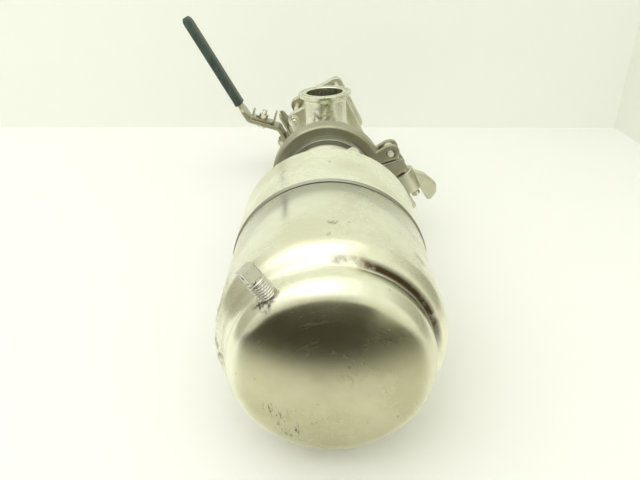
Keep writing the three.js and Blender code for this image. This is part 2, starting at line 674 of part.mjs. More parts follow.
function leverGrip() {
  const half = GRIP_T / 2;
  const inner = GRIP_W / 2 - half;
  const outline = [...arc(0, inner, half, 0, 180, 6), ...arc(0, -inner, half, 180, 360, 6)];
  const shape = new THREE.Shape(outline.map(([z, y]) => new THREE.Vector2(z, y)));
  const bevel = 2.4;
  const geometry = new THREE.ExtrudeGeometry(shape, {
    depth: GRIP_LENGTH - 2 * bevel,
    bevelThickness: bevel,
    bevelSize: bevel,
    bevelOffset: -bevel,
    bevelSegments: 2,
  });
  geometry.translate(0, 0, bevel).rotateY(Math.PI / 2).translate(1.5, 0, 0);
  const pocketLength = TANG_LENGTH + 6;
  const pocket = new THREE.BoxGeometry(pocketLength, TANG_W + 0.8, LEVER_T + 0.8);
  pocket.translate(pocketLength / 2 - 5, 0, 0);
  return alongGrip(geometry).subtract(alongGrip(pocket));
}

// Bent locking slide on the valve side of the slope, shown free: slid down by LOCK_TRAVEL,
// its tongue drops into a notch of the stop plate.
const LOCK_T = 2.2;
const LOCK_FOOT = 6.5;
const LOCK_END = 33.5;

function lockPlate() {
  const face = LEVER_T / 2 + GAP;
  const length = LOCK_END - LOCK_FOOT;
  const slotLength = LOCK_TRAVEL + 7.2;
  const middle = -face - LOCK_T / 2;
  const strip = new THREE.BoxGeometry(length, 14, LOCK_T).translate(LOCK_FOOT + length / 2, 0, middle);
  const tongue = new THREE.BoxGeometry(LOCK_T, 9, 14.6)
    .translate(LOCK_FOOT + LOCK_T / 2, 0, -face - 7.3);
  const tab = new THREE.BoxGeometry(LOCK_T, 12, 9.5).translate(LOCK_END - LOCK_T / 2, 0, -face - 4.75);
  const slot = new THREE.BoxGeometry(slotLength, 6.8, 20).translate(LOCK_S + LOCK_TRAVEL / 2, 0, 0);
  return acrossSlope(strip, 0).add(acrossSlope(tongue, 0)).add(acrossSlope(tab, 0))
    .subtract(acrossSlope(slot, 0));
}

function lockBolt() {
  const face = LEVER_T / 2 + GAP;
  const head = new THREE.CylinderGeometry(5.5, 5.5, 4, 6).rotateX(Math.PI / 2)
    .translate(0, 0, face + 2);
  const shank = new THREE.CylinderGeometry(3, 3, 18, 12).rotateX(Math.PI / 2)
    .translate(0, 0, face - 8);
  return acrossSlope(head).add(acrossSlope(shank));
}

function lockNut() {
  const start = LEVER_T / 2 + 2 * GAP + LOCK_T;
  const nut = new THREE.CylinderGeometry(5.8, 5.8, 5, 6).rotateX(Math.PI / 2)
    .translate(0, 0, -start - 2.5);
  const hole = new THREE.CylinderGeometry(3.3, 3.3, 20, 12).rotateX(Math.PI / 2);
  return acrossSlope(nut).subtract(acrossSlope(hole).add(acrossSlope(hole.clone(), 0)));
}

const BOLT_HEAD_Y = BALL_Y + CAP_OUTER + GAP;
const BOLT_NUT_Y = BALL_Y - CAP_OUTER - GAP;

function bodyBolt(x, z) {
  const shank = rodY(BOLT_R, BOLT_NUT_Y - 9, BOLT_HEAD_Y + 1, x, z, 12);
  return shank.add(hexY(10, BOLT_HEAD_Y, BOLT_HEAD_Y + 4, x, z));
}

function bodyNut(x, z) {
  const washer = rodY(6, BOLT_NUT_Y - 1.2, BOLT_NUT_Y, x, z, 16);
  const nut = hexY(10, BOLT_NUT_Y - 6.2, BOLT_NUT_Y - 1, x, z);
  return washer.add(nut).subtract(rodY(BOLT_R + 0.3, BOLT_NUT_Y - 20, BOLT_NUT_Y + 5, x, z, 12));
}

// ---------------------------------------------------------------- assembly

function clocked(degrees) {
  const group = new THREE.Group();
  group.rotation.y = radians(degrees);
  return group;
}

const actuator = new THREE.Group();
actuator.add(
  piece('actuator_base', actuatorBase(), satinSteel()),
  piece('actuator_shell', actuatorShell(), satinSteel()),
  piece('retaining_ring', retainingRing(), darkSteel()),
  piece('rod_bush', rodBush(), polymer()),
  piece('rod_seal', rodSeal(), elastomer()),
  piece('spring_plate', springPlate(), castSteel()),
  piece('outer_spring', spring(42, 3.2, 5), springSteel()),
  piece('inner_spring', spring(25, 2.4, 6), springSteel()),
  piece('piston', piston(), castSteel()),
  piece('piston_seal', pistonSeal(), elastomer()),
  piece('piston_rod', pistonRod(), brightSteel()),
  piece('piston_nut', pistonNut(), castSteel()),
);

const vent = clocked(VENT_CLOCK);
const ventMesh = piece('vent_plug', ventPlug(), brightSteel());
ventMesh.position.y = VENT_Y;
vent.add(ventMesh);
actuator.add(vent);

const air = clocked(AIR_CLOCK);
const airMesh = piece('air_fitting', airFitting(), brightSteel());
airMesh.position.z = AIR_PORT_R;
air.add(airMesh);
actuator.add(air);

for (let k = 0; k < 4; k += 1) {
  const place = clocked(45 + 90 * k);
  const screw = piece(`mounting_screw_${k + 1}`, mountingScrew(), darkSteel());
  screw.position.z = SCREW_CIRCLE_R;
  place.add(screw);
  actuator.add(place);
}

const body = new THREE.Group();
body.add(
  piece('bonnet', bonnet(), satinSteel()),
  piece('bonnet_bush', bonnetBush(), polymer()),
  piece('stem_coupling', stemCoupling(), castSteel()),
  piece('valve_stem', valveStem(), brightSteel()),
  piece('plug_seal', plugSeal(), polymer()),
  piece('compressor', compressor(), castSteel()),
  piece('diaphragm', diaphragm(), elastomer()),
  piece('valve_body', valveBody(), satinSteel()),
);

const clamp = clocked(CLAMP_CLOCK);
const hingeMesh = piece('clamp_hinge_pin', hingePin(), brightSteel());
hingeMesh.position.set(hingeX, 0, hingeZ);
const swingPinMesh = piece('swing_bolt_pin', hingePin(), brightSteel());
swingPinMesh.position.set(SWING_PIVOT_X, 0, BOLT_LINE);
clamp.add(
  piece('clamp_upper_half', clampUpperHalf(), castSteel()),
  piece('clamp_lower_half', clampLowerHalf(), castSteel()),
  hingeMesh,
  swingPinMesh,
  piece('swing_bolt', swingBolt(), brightSteel()),
  piece('wing_nut', wingNut(), castSteel()),
);

const ballValve = clocked(BALL_CLOCK);
ballValve.add(
  piece('inlet_end_cap', inletEndCap(), castSteel()),
  piece('centre_body', centreBody(), castSteel()),
  piece('outlet_end_cap', outletEndCap(), castSteel()),
  piece('ball_seat_1', ballSeat(-1), polymer()),
  piece('ball_seat_2', ballSeat(1), polymer()),
  piece('ball', ball(), brightSteel()),
  piece('ball_stem', ballStem(), brightSteel()),
  piece('stem_packing', stemPacking(), polymer()),
  piece('gland', gland(), castSteel()),
  piece('stop_plate', stopPlate(), castSteel()),
  piece('spring_washer', springWasher(), springSteel()),
  piece('packing_nut', stemNut(46.3, 49.7, 19), castSteel()),
  piece('stem_nut', stemNut(54.3, 59.5, 17), brightSteel()),
  piece('lever', lever(), castSteel()),
  piece('lever_grip', leverGrip(), vinyl()),
  piece('lock_plate', lockPlate(), castSteel()),
  piece('lock_bolt', lockBolt(), brightSteel()),
  piece('lock_nut', lockNut(), brightSteel()),
);
boltPlaces.forEach(([x, z], k) => {
  ballValve.add(piece(`body_bolt_${k + 1}`, bodyBolt(x, z), brightSteel()));
  ballValve.add(piece(`body_nut_${k + 1}`, bodyNut(x, z), brightSteel()));
});

const valve = new THREE.Group();
valve.add(actuator, body, clamp, ballValve);

// The origin is the middle of the valve's footprint, on the surface it lies on.
valve.updateMatrixWorld(true);
const bounds = new THREE.Box3().setFromObject(valve, true);
const footprint = bounds.getCenter(new THREE.Vector3());
valve.position.set(-footprint.x, -footprint.y, -bounds.min.z);

export default valve;
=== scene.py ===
"""Sanitary diaphragm valve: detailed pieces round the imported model, their finishes and a stage.

Sizes are millimetres from the crossing of the main axis and the branch axis: Y runs along the
main axis from the dome to the outlet, and Z up the branch. place() puts them in the row frame.
"""

import json
import math

import bpy
import numpy as np
from mathutils import Matrix, Vector


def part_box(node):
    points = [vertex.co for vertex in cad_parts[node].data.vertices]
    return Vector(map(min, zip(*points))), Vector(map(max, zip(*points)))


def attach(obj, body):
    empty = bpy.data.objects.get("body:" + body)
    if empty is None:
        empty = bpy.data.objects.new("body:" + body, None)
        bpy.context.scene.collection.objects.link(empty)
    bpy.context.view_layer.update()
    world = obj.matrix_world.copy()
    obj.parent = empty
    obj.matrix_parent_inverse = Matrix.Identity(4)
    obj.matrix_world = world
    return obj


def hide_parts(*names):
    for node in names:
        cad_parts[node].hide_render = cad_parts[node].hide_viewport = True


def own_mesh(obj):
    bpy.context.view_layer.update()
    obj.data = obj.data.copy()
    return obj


bl_info = {
    "name": "Sanitary Diaphragm Valve",
    "version": (1, 0, 0),
    "blender": (4, 5, 0),
    "location": "View3D > Sidebar > Valve",
    "description": "Builds the detailed pieces, finishes and stage of an angle diaphragm valve",
    "category": "Object",
}

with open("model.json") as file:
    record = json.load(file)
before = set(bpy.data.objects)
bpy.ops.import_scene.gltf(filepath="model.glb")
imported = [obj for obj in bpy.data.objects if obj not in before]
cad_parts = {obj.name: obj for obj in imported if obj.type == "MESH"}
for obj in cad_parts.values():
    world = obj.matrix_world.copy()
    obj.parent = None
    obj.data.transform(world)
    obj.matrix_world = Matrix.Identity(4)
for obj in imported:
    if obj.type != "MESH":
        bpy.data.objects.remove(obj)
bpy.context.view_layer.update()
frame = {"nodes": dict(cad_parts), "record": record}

MM = 0.001
TURN = 2 * math.pi
MOUNTS = {mount["name"]: mount for mount in frame["record"]["mounts"]}
BASE_LOW, BASE_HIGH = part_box("actuator_base")
AXIS_X = (BASE_LOW.x + BASE_HIGH.x) / 2
AXIS_Z = (BASE_LOW.z + BASE_HIGH.z) / 2
BRANCH_Y = MOUNTS["branch_ferrule"]["pos_m"][1]
BRANCH_TOP = (MOUNTS["branch_ferrule"]["pos_m"][2] - AXIS_Z) / MM
OUTLET_Y = (MOUNTS["outlet_ferrule"]["pos_m"][1] - BRANCH_Y) / MM
COLLAR_R = (BASE_HIGH.x - BASE_LOW.x) / 2 / MM
SHELL_LOW, SHELL_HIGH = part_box("actuator_shell")
SHELL_R = (SHELL_HIGH.x - SHELL_LOW.x) / 2 / MM
CROWN_Y = (SHELL_LOW.y - BRANCH_Y) / MM
NECK_R = 51.5
NECK_END_Y = CROWN_Y + 19.0
SHOULDER_STEP = CROWN_Y + 29.8

# Stations along the main axis.
VENT_Y = -334.0
SEAM_Y = -242.9
BASE_FACE_Y = -185.0
JOINT_Y = -80.0
BALL_Y = 100.0

# Clock angles, in degrees about the main axis from the branch towards +X. The clamp's split plane
# stands at its own angle from the clamp's clock.
VENT_CLOCK = -32.0
AIR_CLOCK = 22.0
CLAMP_CLOCK = 60.0
BALL_CLOCK = 245.0
SPLIT_ANGLE = 15.0

# Radii and offsets across the main axis.
TUBE_R = 20.0
BORE_R = 17.4
FERRULE_R = 25.25
FLANGE_R = 45.0
BAND_GROOVE_R = 45.6
HINGE_R = 54.0
BOLT_LINE = 57.0
PIVOT_X = 8.0
BALL_R = 26.0
BALL_BORE_R = 16.5
BODY_BOLT = 25.8

# Depths at which a hexagon has rows near its ends, so that the cone can cut its corners.
CHAMFER = np.array([0.0, 0.1, 0.25, 0.5, 0.8, 1.2])


# ------------------------------------------------------------------ points


def clocked(points, clock):
    """Turns millimetre points about the main axis by a clock angle, from the branch towards +X."""
    a = math.radians(clock)
    x, y, z = points[..., 0], points[..., 1], points[..., 2]
    return np.stack([x * math.cos(a) + z * math.sin(a), y, z * math.cos(a) - x * math.sin(a)], -1)


def place(points, clock=0.0):
    """Turns points by their clock angle and shifts them into the row frame, in metres."""
    return clocked(points, clock) * MM + np.array([AXIS_X, BRANCH_Y, AXIS_Z])


def rounded(corners, steps=6, closed=False):
    """A line through (a, b, fillet) corners. Each fillet is the arc that touches both sides of its
    corner, and a support point stands just beyond each of its ends."""
    points = np.array([c[:2] for c in corners], float)
    fillets = np.array([c[2] if len(c) > 2 else 0.0 for c in corners])
    back = np.roll(points, 1, 0) - points
    ahead = np.roll(points, -1, 0) - points
    back_length = np.linalg.norm(back, axis=1)
    length = np.linalg.norm(ahead, axis=1)
    back = back / np.maximum(back_length, 1e-9)[:, None]
    ahead = ahead / np.maximum(length, 1e-9)[:, None]
    half = np.arccos(np.clip((back * ahead).sum(1), -1, 1)) / 2
    if not closed:
        fillets[0] = fillets[-1] = 0
    reach = np.where(fillets > 0, fillets / np.tan(half), 0)
    reach = np.minimum(reach, 0.98 * np.minimum(back_length, length))
    slack = np.maximum(length - reach - np.roll(reach, -1), 0)
    line = []
    for i, point in enumerate(points):
        if reach[i] <= 0:
            line.append(point[None])
            continue
        radius = reach[i] * math.tan(half[i])
        middle = back[i] + ahead[i]
        centre = point + middle / np.linalg.norm(middle) * radius / math.sin(half[i])
        first = point + back[i] * reach[i] - centre
        last = point + ahead[i] * reach[i] - centre
        sweep = math.pi - 2 * half[i]
        k = np.linspace(0, 1, steps + 1)[:, None]
        arc = centre + (np.sin((1 - k) * sweep) * first + np.sin(k * sweep) * last) / math.sin(sweep)
        before, after = min(0.25, 0.3 * slack[i - 1]), min(0.25, 0.3 * slack[i])
        if before > 0.01:
            line.append((point + back[i] * (reach[i] + before))[None])
        line.append(arc)
        if after > 0.01:
            line.append((point + ahead[i] * (reach[i] + after))[None])
    return np.concatenate(line)


def around(profile, axis="Y", at=(0.0, 0.0), segments=128, ripple=None):
    """Turns a line of (radius, height) points about an axis that stands at a place in the plane
    across it. Each point sweeps a circle, and ripple may change its radius as a function of angle and
    height. The line may differ with the angle."""
    profile = np.asarray(profile, float)
    if profile.ndim == 2:
        profile = np.repeat(profile[:, None], segments, 1)
    angle = TURN * np.arange(segments)[None] / segments
    radius, height = profile[..., 0], profile[..., 1]
    if ripple:
        radius = ripple(angle, height, radius)
    across, along = radius * np.sin(angle) + at[0], radius * np.cos(angle) + at[1]
    order = {"X": (height, across, along), "Y": (across, height, along), "Z": (across, along, height)}
    return np.stack(order[axis], -1)


def plate(outline, low, high, edge=0.5, axis="Y", steps=3, rim=0.3):
    """Carries a closed (a, b) outline from low to high. Near each face the outline shrinks along its
    own normals by one minus the sine of a quarter turn, which rounds the edge, and by a further rim
    on the face itself."""
    outline = np.asarray(outline, float)
    along = np.roll(outline, -1, 0) - np.roll(outline, 1, 0)
    normal = np.stack([along[:, 1], -along[:, 0]], 1)
    normal /= np.maximum(np.linalg.norm(normal, axis=1, keepdims=True), 1e-9)
    a, b = outline.T
    if np.sum(a * np.roll(b, -1) - b * np.roll(a, -1)) < 0:
        normal = -normal
    k = np.linspace(0, math.pi / 2, steps + 1)
    sine, cosine = edge * (1 - np.sin(k)), edge * (1 - np.cos(k))
    shrink = np.concatenate([[edge + rim], sine, cosine, [edge + rim]])
    height = np.concatenate([[low], low + cosine, high - sine, [high]])
    flat = outline[None] - normal[None] * shrink[:, None, None]
    rise = np.repeat(height[:, None], len(outline), 1)
    order = {"X": (rise, flat[..., 0], flat[..., 1]), "Y": (flat[..., 0], rise, flat[..., 1]),
             "Z": (flat[..., 0], flat[..., 1], rise)}
    return np.stack(order[axis], -1)


def strip(path, section, widths, depths, y=0.0):
    """Carries a closed (across, deep) section along a path in the XZ plane. Across runs along Y and
    deep along the path's normal, and each row scales them by its own width and depth."""
    path = np.asarray(path, float)
    along = np.gradient(path, axis=0)
    along /= np.linalg.norm(along, axis=1, keepdims=True)
    normal = np.stack([-along[:, 1], along[:, 0]], 1)
    across = section[None, :, 0] * np.asarray(widths)[:, None]
    deep = section[None, :, 1] * np.asarray(depths)[:, None]
    x = path[:, :1] + normal[:, :1] * deep
    z = path[:, 1:] + normal[:, 1:] * deep
    return np.stack([x, across + y, z], -1)


def rectangle(half_a, half_b, radius, steps):
    """A rectangle round the origin, with an arc at each corner."""
    corners = [(half_a, half_b), (-half_a, half_b), (-half_a, -half_b), (half_a, -half_b)]
    return rounded([(a, b, radius) for a, b in corners], steps, closed=True)


def spaced(line, pitch):
    """The same line with points no further apart than pitch, by even steps along each piece."""
    parts = []
    for a, b in zip(line[:-1], line[1:]):
        count = max(1, int(math.ceil(np.linalg.norm(b - a) / pitch)))
        parts.append(a + (b - a) * np.arange(count)[:, None] / count)
    return np.concatenate(parts + [line[-1:]])


def run_length(line):
    """Distance of each point along the line, the running sum of its pieces' lengths."""
    return np.concatenate([[0], np.cumsum(np.linalg.norm(np.diff(line, axis=0), axis=1))])


# ------------------------------------------------------------------ ripples


def hexagon(flats, low, high):
    """Radius of a hexagon across flats, cut by a cone at each end: the least of the row's own radius,
    the cones, and the flat's distance over the cosine of the angle from its middle, less a quarter
    of what its corners stand past 1.11 times that distance. Rows past the ends are left alone."""
    def ripple(angle, height, radius):
        folded = (angle + TURN / 12) % (TURN / 6) - TURN / 12
        side = flats / 2 / np.cos(folded)
        side = side - 0.25 * flats * np.clip(side / (flats / 2) - 1.11, 0, 1)
        end = np.minimum(height - low, high - height)
        cut = np.minimum(side, 0.485 * flats + 2 * end)
        return np.where(end < -0.001, radius, np.minimum(radius, cut))
    return ripple


def hex_rows(flats, low, high, bore=0.0, under=1.0):
    """Rows of a hexagon from its bore, up its sides and back, close together near both ends. Under
    scales the lower end's spacing."""
    heights = np.concatenate([low + CHAMFER * under, (high - CHAMFER)[::-1]])
    sides = np.column_stack([np.full(len(heights), flats), heights])
    return np.vstack([[bore, low], sides, [bore, high]])


def thread(pitch, depth, low, high):
    """Radius of a screw: a triangle wave of the height in pitches less the angle in turns, faded
    out at both ends of the threaded stretch."""
    def ripple(angle, height, radius):
        phase = (height / pitch - angle / TURN) % 1
        groove = depth * (1 - np.abs(2 * phase - 1)) ** 0.8
        fade = np.clip(np.minimum(height - low, high - height) / pitch, 0, 1)
        return np.where(radius > 2 * depth, radius - groove * fade, radius)
    return ripple


def rounded_square(half, corner, turn=0.0):
    """Radius of a square with round corners: where a ray leaves the side, or the corner's circle,
    capped by the row's own radius."""
    def ripple(angle, height, radius):
        folded = np.abs((angle + turn + TURN / 8) % (TURN / 4) - TURN / 8)
        side = half / np.cos(folded)
        inner = half - corner
        reach = inner * (np.cos(folded) + np.sin(folded))
        arc = reach + np.sqrt(np.maximum(reach**2 - 2 * inner**2 + corner**2, 0))
        return np.minimum(radius, np.where(side * np.sin(folded) > inner, arc, side))
    return ripple


# ------------------------------------------------------------------ meshes


def skin(name, rows, clock=0.0, loop=False, caps=False):
    """Quads between neighbouring rows of points, each row closed on itself. A row drawn in to one
    point becomes a fan, loop joins the last row to the first, and caps close the two end rows."""
    rows = place(rows, clock)
    count, width = rows.shape[:2]
    index = np.arange(count * width).reshape(count, width)
    pole = np.ptp(rows, axis=1).max(axis=1) < 1e-7
    index[pole] = index[pole, :1]
    used = np.unique(index)
    points = rows.reshape(-1, 3)[used]
    renumber = np.zeros(count * width, int)
    renumber[used] = np.arange(len(used))
    index = renumber[index]
    low = index if loop else index[:-1]
    high = np.roll(index, -1, 0) if loop else index[1:]
    quads = np.stack([low, np.roll(low, -1, 1), np.roll(high, -1, 1), high], -1).reshape(-1, 4)
    thin_low, thin_high = quads[:, 0] == quads[:, 1], quads[:, 2] == quads[:, 3]
    centred = points - points.mean(0)
    a, b, c, d = (centred[quads[:, k]] for k in range(4))
    volume = (a * np.cross(b, c)).sum() + (a * np.cross(c, d)).sum()
    faces = quads[~thin_low & ~thin_high].tolist()
    faces += quads[thin_low & ~thin_high][:, [0, 2, 3]].tolist()
    faces += quads[thin_high & ~thin_low][:, [0, 1, 2]].tolist()
    if caps:
        faces += [index[0][::-1].tolist(), index[-1].tolist()]
    if volume < 0:
        faces = [face[::-1] for face in faces]
    mesh = bpy.data.meshes.new(name)
    mesh.from_pydata(points.tolist(), [], faces)
    mesh.update()
    piece = bpy.data.objects.new(name, mesh)
    bpy.context.scene.collection.objects.link(piece)
    return piece


def settle(piece):
    """Keeps what the piece's modifiers make as its mesh, and drops them."""
    bpy.context.view_layer.update()
    graph = bpy.context.evaluated_depsgraph_get()
    made = bpy.data.meshes.new_from_object(piece.evaluated_get(graph))
    piece.modifiers.clear()
    piece.data = made
    made.name = piece.name


def combine(piece, others, operation):
    """Adds closed pieces to another or cuts them from it, and removes them."""
    for other in others:
        step = piece.modifiers.new("step", "BOOLEAN")
        step.operation = operation
        step.solver = "MANIFOLD"
        step.object = other
    settle(piece)
    for other in others:
        bpy.data.objects.remove(other)
    if not len(piece.data.polygons):
        raise RuntimeError(f"nothing is left of {piece.name}")


def cast(piece, grain, passes):
    """Remeshes a piece on an even grain and smooths it, which rounds its edges as casting does."""
    remesh = piece.modifiers.new("grain", "REMESH")
    remesh.mode = "VOXEL"
    remesh.voxel_size = grain * MM
    smooth = piece.modifiers.new("smooth", "SMOOTH")
    smooth.factor = 0.5
    smooth.iterations = passes
    settle(piece)


def bevel_edges(piece, width):
    """Cuts every edge sharper than 40 degrees with a two-step bevel."""
    bevel = piece.modifiers.new("edges", "BEVEL")
    bevel.width = width * MM
    bevel.segments = 2
    bevel.limit_method = "ANGLE"
    bevel.angle_limit = math.radians(40)
    settle(piece)


def ready(piece, body, nodes, finish, sharp=None):
    """Shades a piece smooth, sharp past an angle, and says its body, its CAD nodes and finish."""
    piece.data.polygons.foreach_set("use_smooth", np.ones(len(piece.data.polygons), bool))
    if sharp:
        piece.data.set_sharp_from_angle(angle=math.radians(sharp))
    piece.data.materials.clear()
    piece.data.materials.append(finish)
    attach(piece, body)
    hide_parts(*nodes)


# ------------------------------------------------------------------ finishes


def node(tree, kind, sources=None, **settings):
    """Adds a shader node, sets its settings, and links or sets each named input."""
    made = tree.nodes.new(kind)
    for key, value in settings.items():
        setattr(made, key, value)
    for key, value in (sources or {}).items():
        if isinstance(value, bpy.types.NodeSocket):
            tree.links.new(value, made.inputs[key])
        else:
            made.inputs[key].default_value = value
    return made


def math_node(tree, operation, a, b=0.0, clamp=False):
    """One step of arithmetic on sockets or numbers."""
    return node(tree, "ShaderNodeMath", {0: a, 1: b}, operation=operation, use_clamp=clamp).outputs[0]


def times(tree, a, b, clamp=False):
    return math_node(tree, "MULTIPLY", a, b, clamp)


def plus(tree, a, b, clamp=False):
    return math_node(tree, "ADD", a, b, clamp)


def blend_colour(tree, factor, a, b):
    """The colour a where the factor is 0, and b where it is 1."""
    made = node(tree, "ShaderNodeMix", {"Factor": factor}, data_type="RGBA")
    for socket, value in ((made.inputs[6], a), (made.inputs[7], b)):
        if isinstance(value, bpy.types.NodeSocket):
            tree.links.new(value, socket)
        else:
            socket.default_value = (*value, 1)
    return made.outputs[2]


def noise(tree, vector, scale, detail, roughness, low, high):
    """Noise, stretched so that low to high becomes 0 to 1."""
    made = node(tree, "ShaderNodeTexNoise",
                {"Vector": vector, "Scale": scale, "Detail": detail, "Roughness": roughness})
    return ramp(tree, made.outputs["Fac"], low, high)


def ramp(tree, value, low, high, bottom=0.0, top=1.0):
    """A smooth step from bottom, at low, to top, at high."""
    made = node(tree, "ShaderNodeMapRange",
                {"Value": value, "From Min": low, "From Max": high, "To Min": bottom, "To Max": top},
                interpolation_type="SMOOTHSTEP")
    return made.outputs["Result"]


def patch(tree, vector, centre, radius):
    """1 within 0.4 of the radius round a point, in millimetres from the axes' crossing, and 0
    beyond the radius."""
    spot = tuple(v * MM for v in centre)
    apart = node(tree, "ShaderNodeVectorMath", {0: vector, 1: spot}, operation="DISTANCE")
    return ramp(tree, apart.outputs["Value"], radius * MM, 0.4 * radius * MM)


def surface(name):
    """A material with its shader, and Object coordinates measured from the axes' crossing."""
    material = bpy.data.materials.new(name)
    material.use_nodes = True
    tree = material.node_tree
    tree.nodes.clear()
    output = node(tree, "ShaderNodeOutputMaterial")
    shader = node(tree, "ShaderNodeBsdfPrincipled")
    tree.links.new(shader.outputs["BSDF"], output.inputs["Surface"])
    where = node(tree, "ShaderNodeTexCoord").outputs["Object"]
    shift = node(tree, "ShaderNodeMapping", {"Vector": where, "Location": (-AXIS_X, -BRANCH_Y, -AXIS_Z)})
    return material, tree, shader, shift.outputs["Vector"]


def stretched(tree, vector, scale):
    """The coordinates times a scale along each axis; a small one draws a pattern out."""
    return node(tree, "ShaderNodeMapping", {"Vector": vector, "Scale": scale}).outputs["Vector"]


def lathe_lines(tree, vector):
    """Coordinates that change across a turned surface and hardly at all round it."""
    split = node(tree, "ShaderNodeSeparateXYZ", {"Vector": vector})
    flat = node(tree, "ShaderNodeCombineXYZ", {"X": split.outputs["X"], "Z": split.outputs["Z"]})
    radius = node(tree, "ShaderNodeVectorMath", {0: flat.outputs[0]}, operation="LENGTH").outputs["Value"]
    slow = math_node(tree, "MULTIPLY", split.outputs["X"], 0.02)
    lines = node(tree, "ShaderNodeCombineXYZ", {"X": radius, "Y": split.outputs["Y"], "Z": slow})
    return lines.outputs[0]


def shade(colour, factor):
    """A darker or paler colour of the same hue."""
    return tuple(c * factor for c in colour)


def wire(tree, shader, tint, rough, height, strength, depth):
    """Links the tint, the roughness and a bump of the height, of a depth in millimetres."""
    bump = node(tree, "ShaderNodeBump", {"Height": height, "Strength": strength, "Distance": depth * MM})
    for socket, value in (("Base Color", tint), ("Roughness", rough), ("Normal", bump.outputs["Normal"])):
        tree.links.new(value, shader.inputs[socket])


SPECK_BROWN = (0.06, 0.045, 0.022)
CAKED_BROWN = (0.045, 0.03, 0.012)
SEAM_SHADE_BLACK = (0.012, 0.009, 0.004)
CREASE_GRIME_AND_SHADE = (0.07, 0.05, 0.022)
RUST_BLOOM = (0.36, 0.2, 0.07)
DOME_FACE_SHADE = (0.66, 0.64, 0.52)
SCUFF_GREY = (0.05, 0.045, 0.03)
DUSTY_GREEN = (0.16, 0.19, 0.15)


def steel(name, colour, roughness, lines=0.0, grain=0.3, marks=(), dirt=0.35, gaps=()):
    """Bare steel: a clouded tint, turned lines or blasted grain in the bump and the roughness, fine
    scratches, specks, brown dirt in the patches given as (centre, radius, strength), and a painted
    shadow line, near black, in the gaps given as (height, half width, strength). Gives back what a
    finish may build on."""
    material, tree, shader, at = surface(name)
    cloud = noise(tree, at, 22.0, 6.0, 0.62, 0.33, 0.68)
    fine = noise(tree, at, 900.0, 3.0, 0.6, 0.25, 0.75)
    dull = tuple(c * f for c, f in zip(colour, (0.84, 0.83, 0.78)))
    tint = blend_colour(tree, cloud, colour, dull)
    streaks = noise(tree, stretched(tree, at, (1.0, 26.0, 1.0)), 34.0, 5.0, 0.7, 0.58, 0.74)
    tint = blend_colour(tree, times(tree, streaks, 0.22), tint, shade(colour, 0.55))
    specks = noise(tree, at, 150.0, 2.0, 0.5, 0.71, 0.76)
    tint = blend_colour(tree, times(tree, specks, dirt), tint, SPECK_BROWN)
    rough = plus(tree, times(tree, cloud, 0.08), roughness - 0.04)
    rough = plus(tree, rough, times(tree, streaks, 0.1))
    crumbs = noise(tree, at, 260.0, 5.0, 0.7, 0.38, 0.62)
    for centre, radius, strength in marks:
        spot = times(tree, patch(tree, at, centre, radius), crumbs)
        spot = times(tree, spot, strength, clamp=True)
        tint = blend_colour(tree, spot, tint, CAKED_BROWN)
        rough = plus(tree, rough, times(tree, spot, 0.35), clamp=True)
    # Painted shadow: a near-black line along each gap between parts, where the seam's shade falls.
    for middle, half, strength in gaps:
        height = node(tree, "ShaderNodeSeparateXYZ", {"Vector": at}).outputs["Y"]
        away = math_node(tree, "ABSOLUTE", math_node(tree, "SUBTRACT", height, middle * MM))
        near = ramp(tree, away, half * MM, (half - 0.3) * MM, 0.0, strength)
        tint = blend_colour(tree, near, tint, SEAM_SHADE_BLACK)
        rough = plus(tree, rough, times(tree, near, 0.5), clamp=True)
    relief = times(tree, fine, grain)
    if lines:
        turned = noise(tree, lathe_lines(tree, at), 1500.0, 2.0, 0.6, 0.3, 0.7)
        wide = noise(tree, lathe_lines(tree, at), 260.0, 3.0, 0.6, 0.3, 0.7)
        relief = plus(tree, relief, times(tree, turned, lines))
        rough = plus(tree, rough, times(tree, wide, 0.09 * lines))
    wire(tree, shader, tint, rough, relief, 0.28, 0.03)
    shader.inputs["Metallic"].default_value = 1.0
    return material, tree, shader, at, tint, rough


def finish_steel(*facts, **more):
    """A steel with nothing added to it."""
    return steel(*facts, **more)[0]


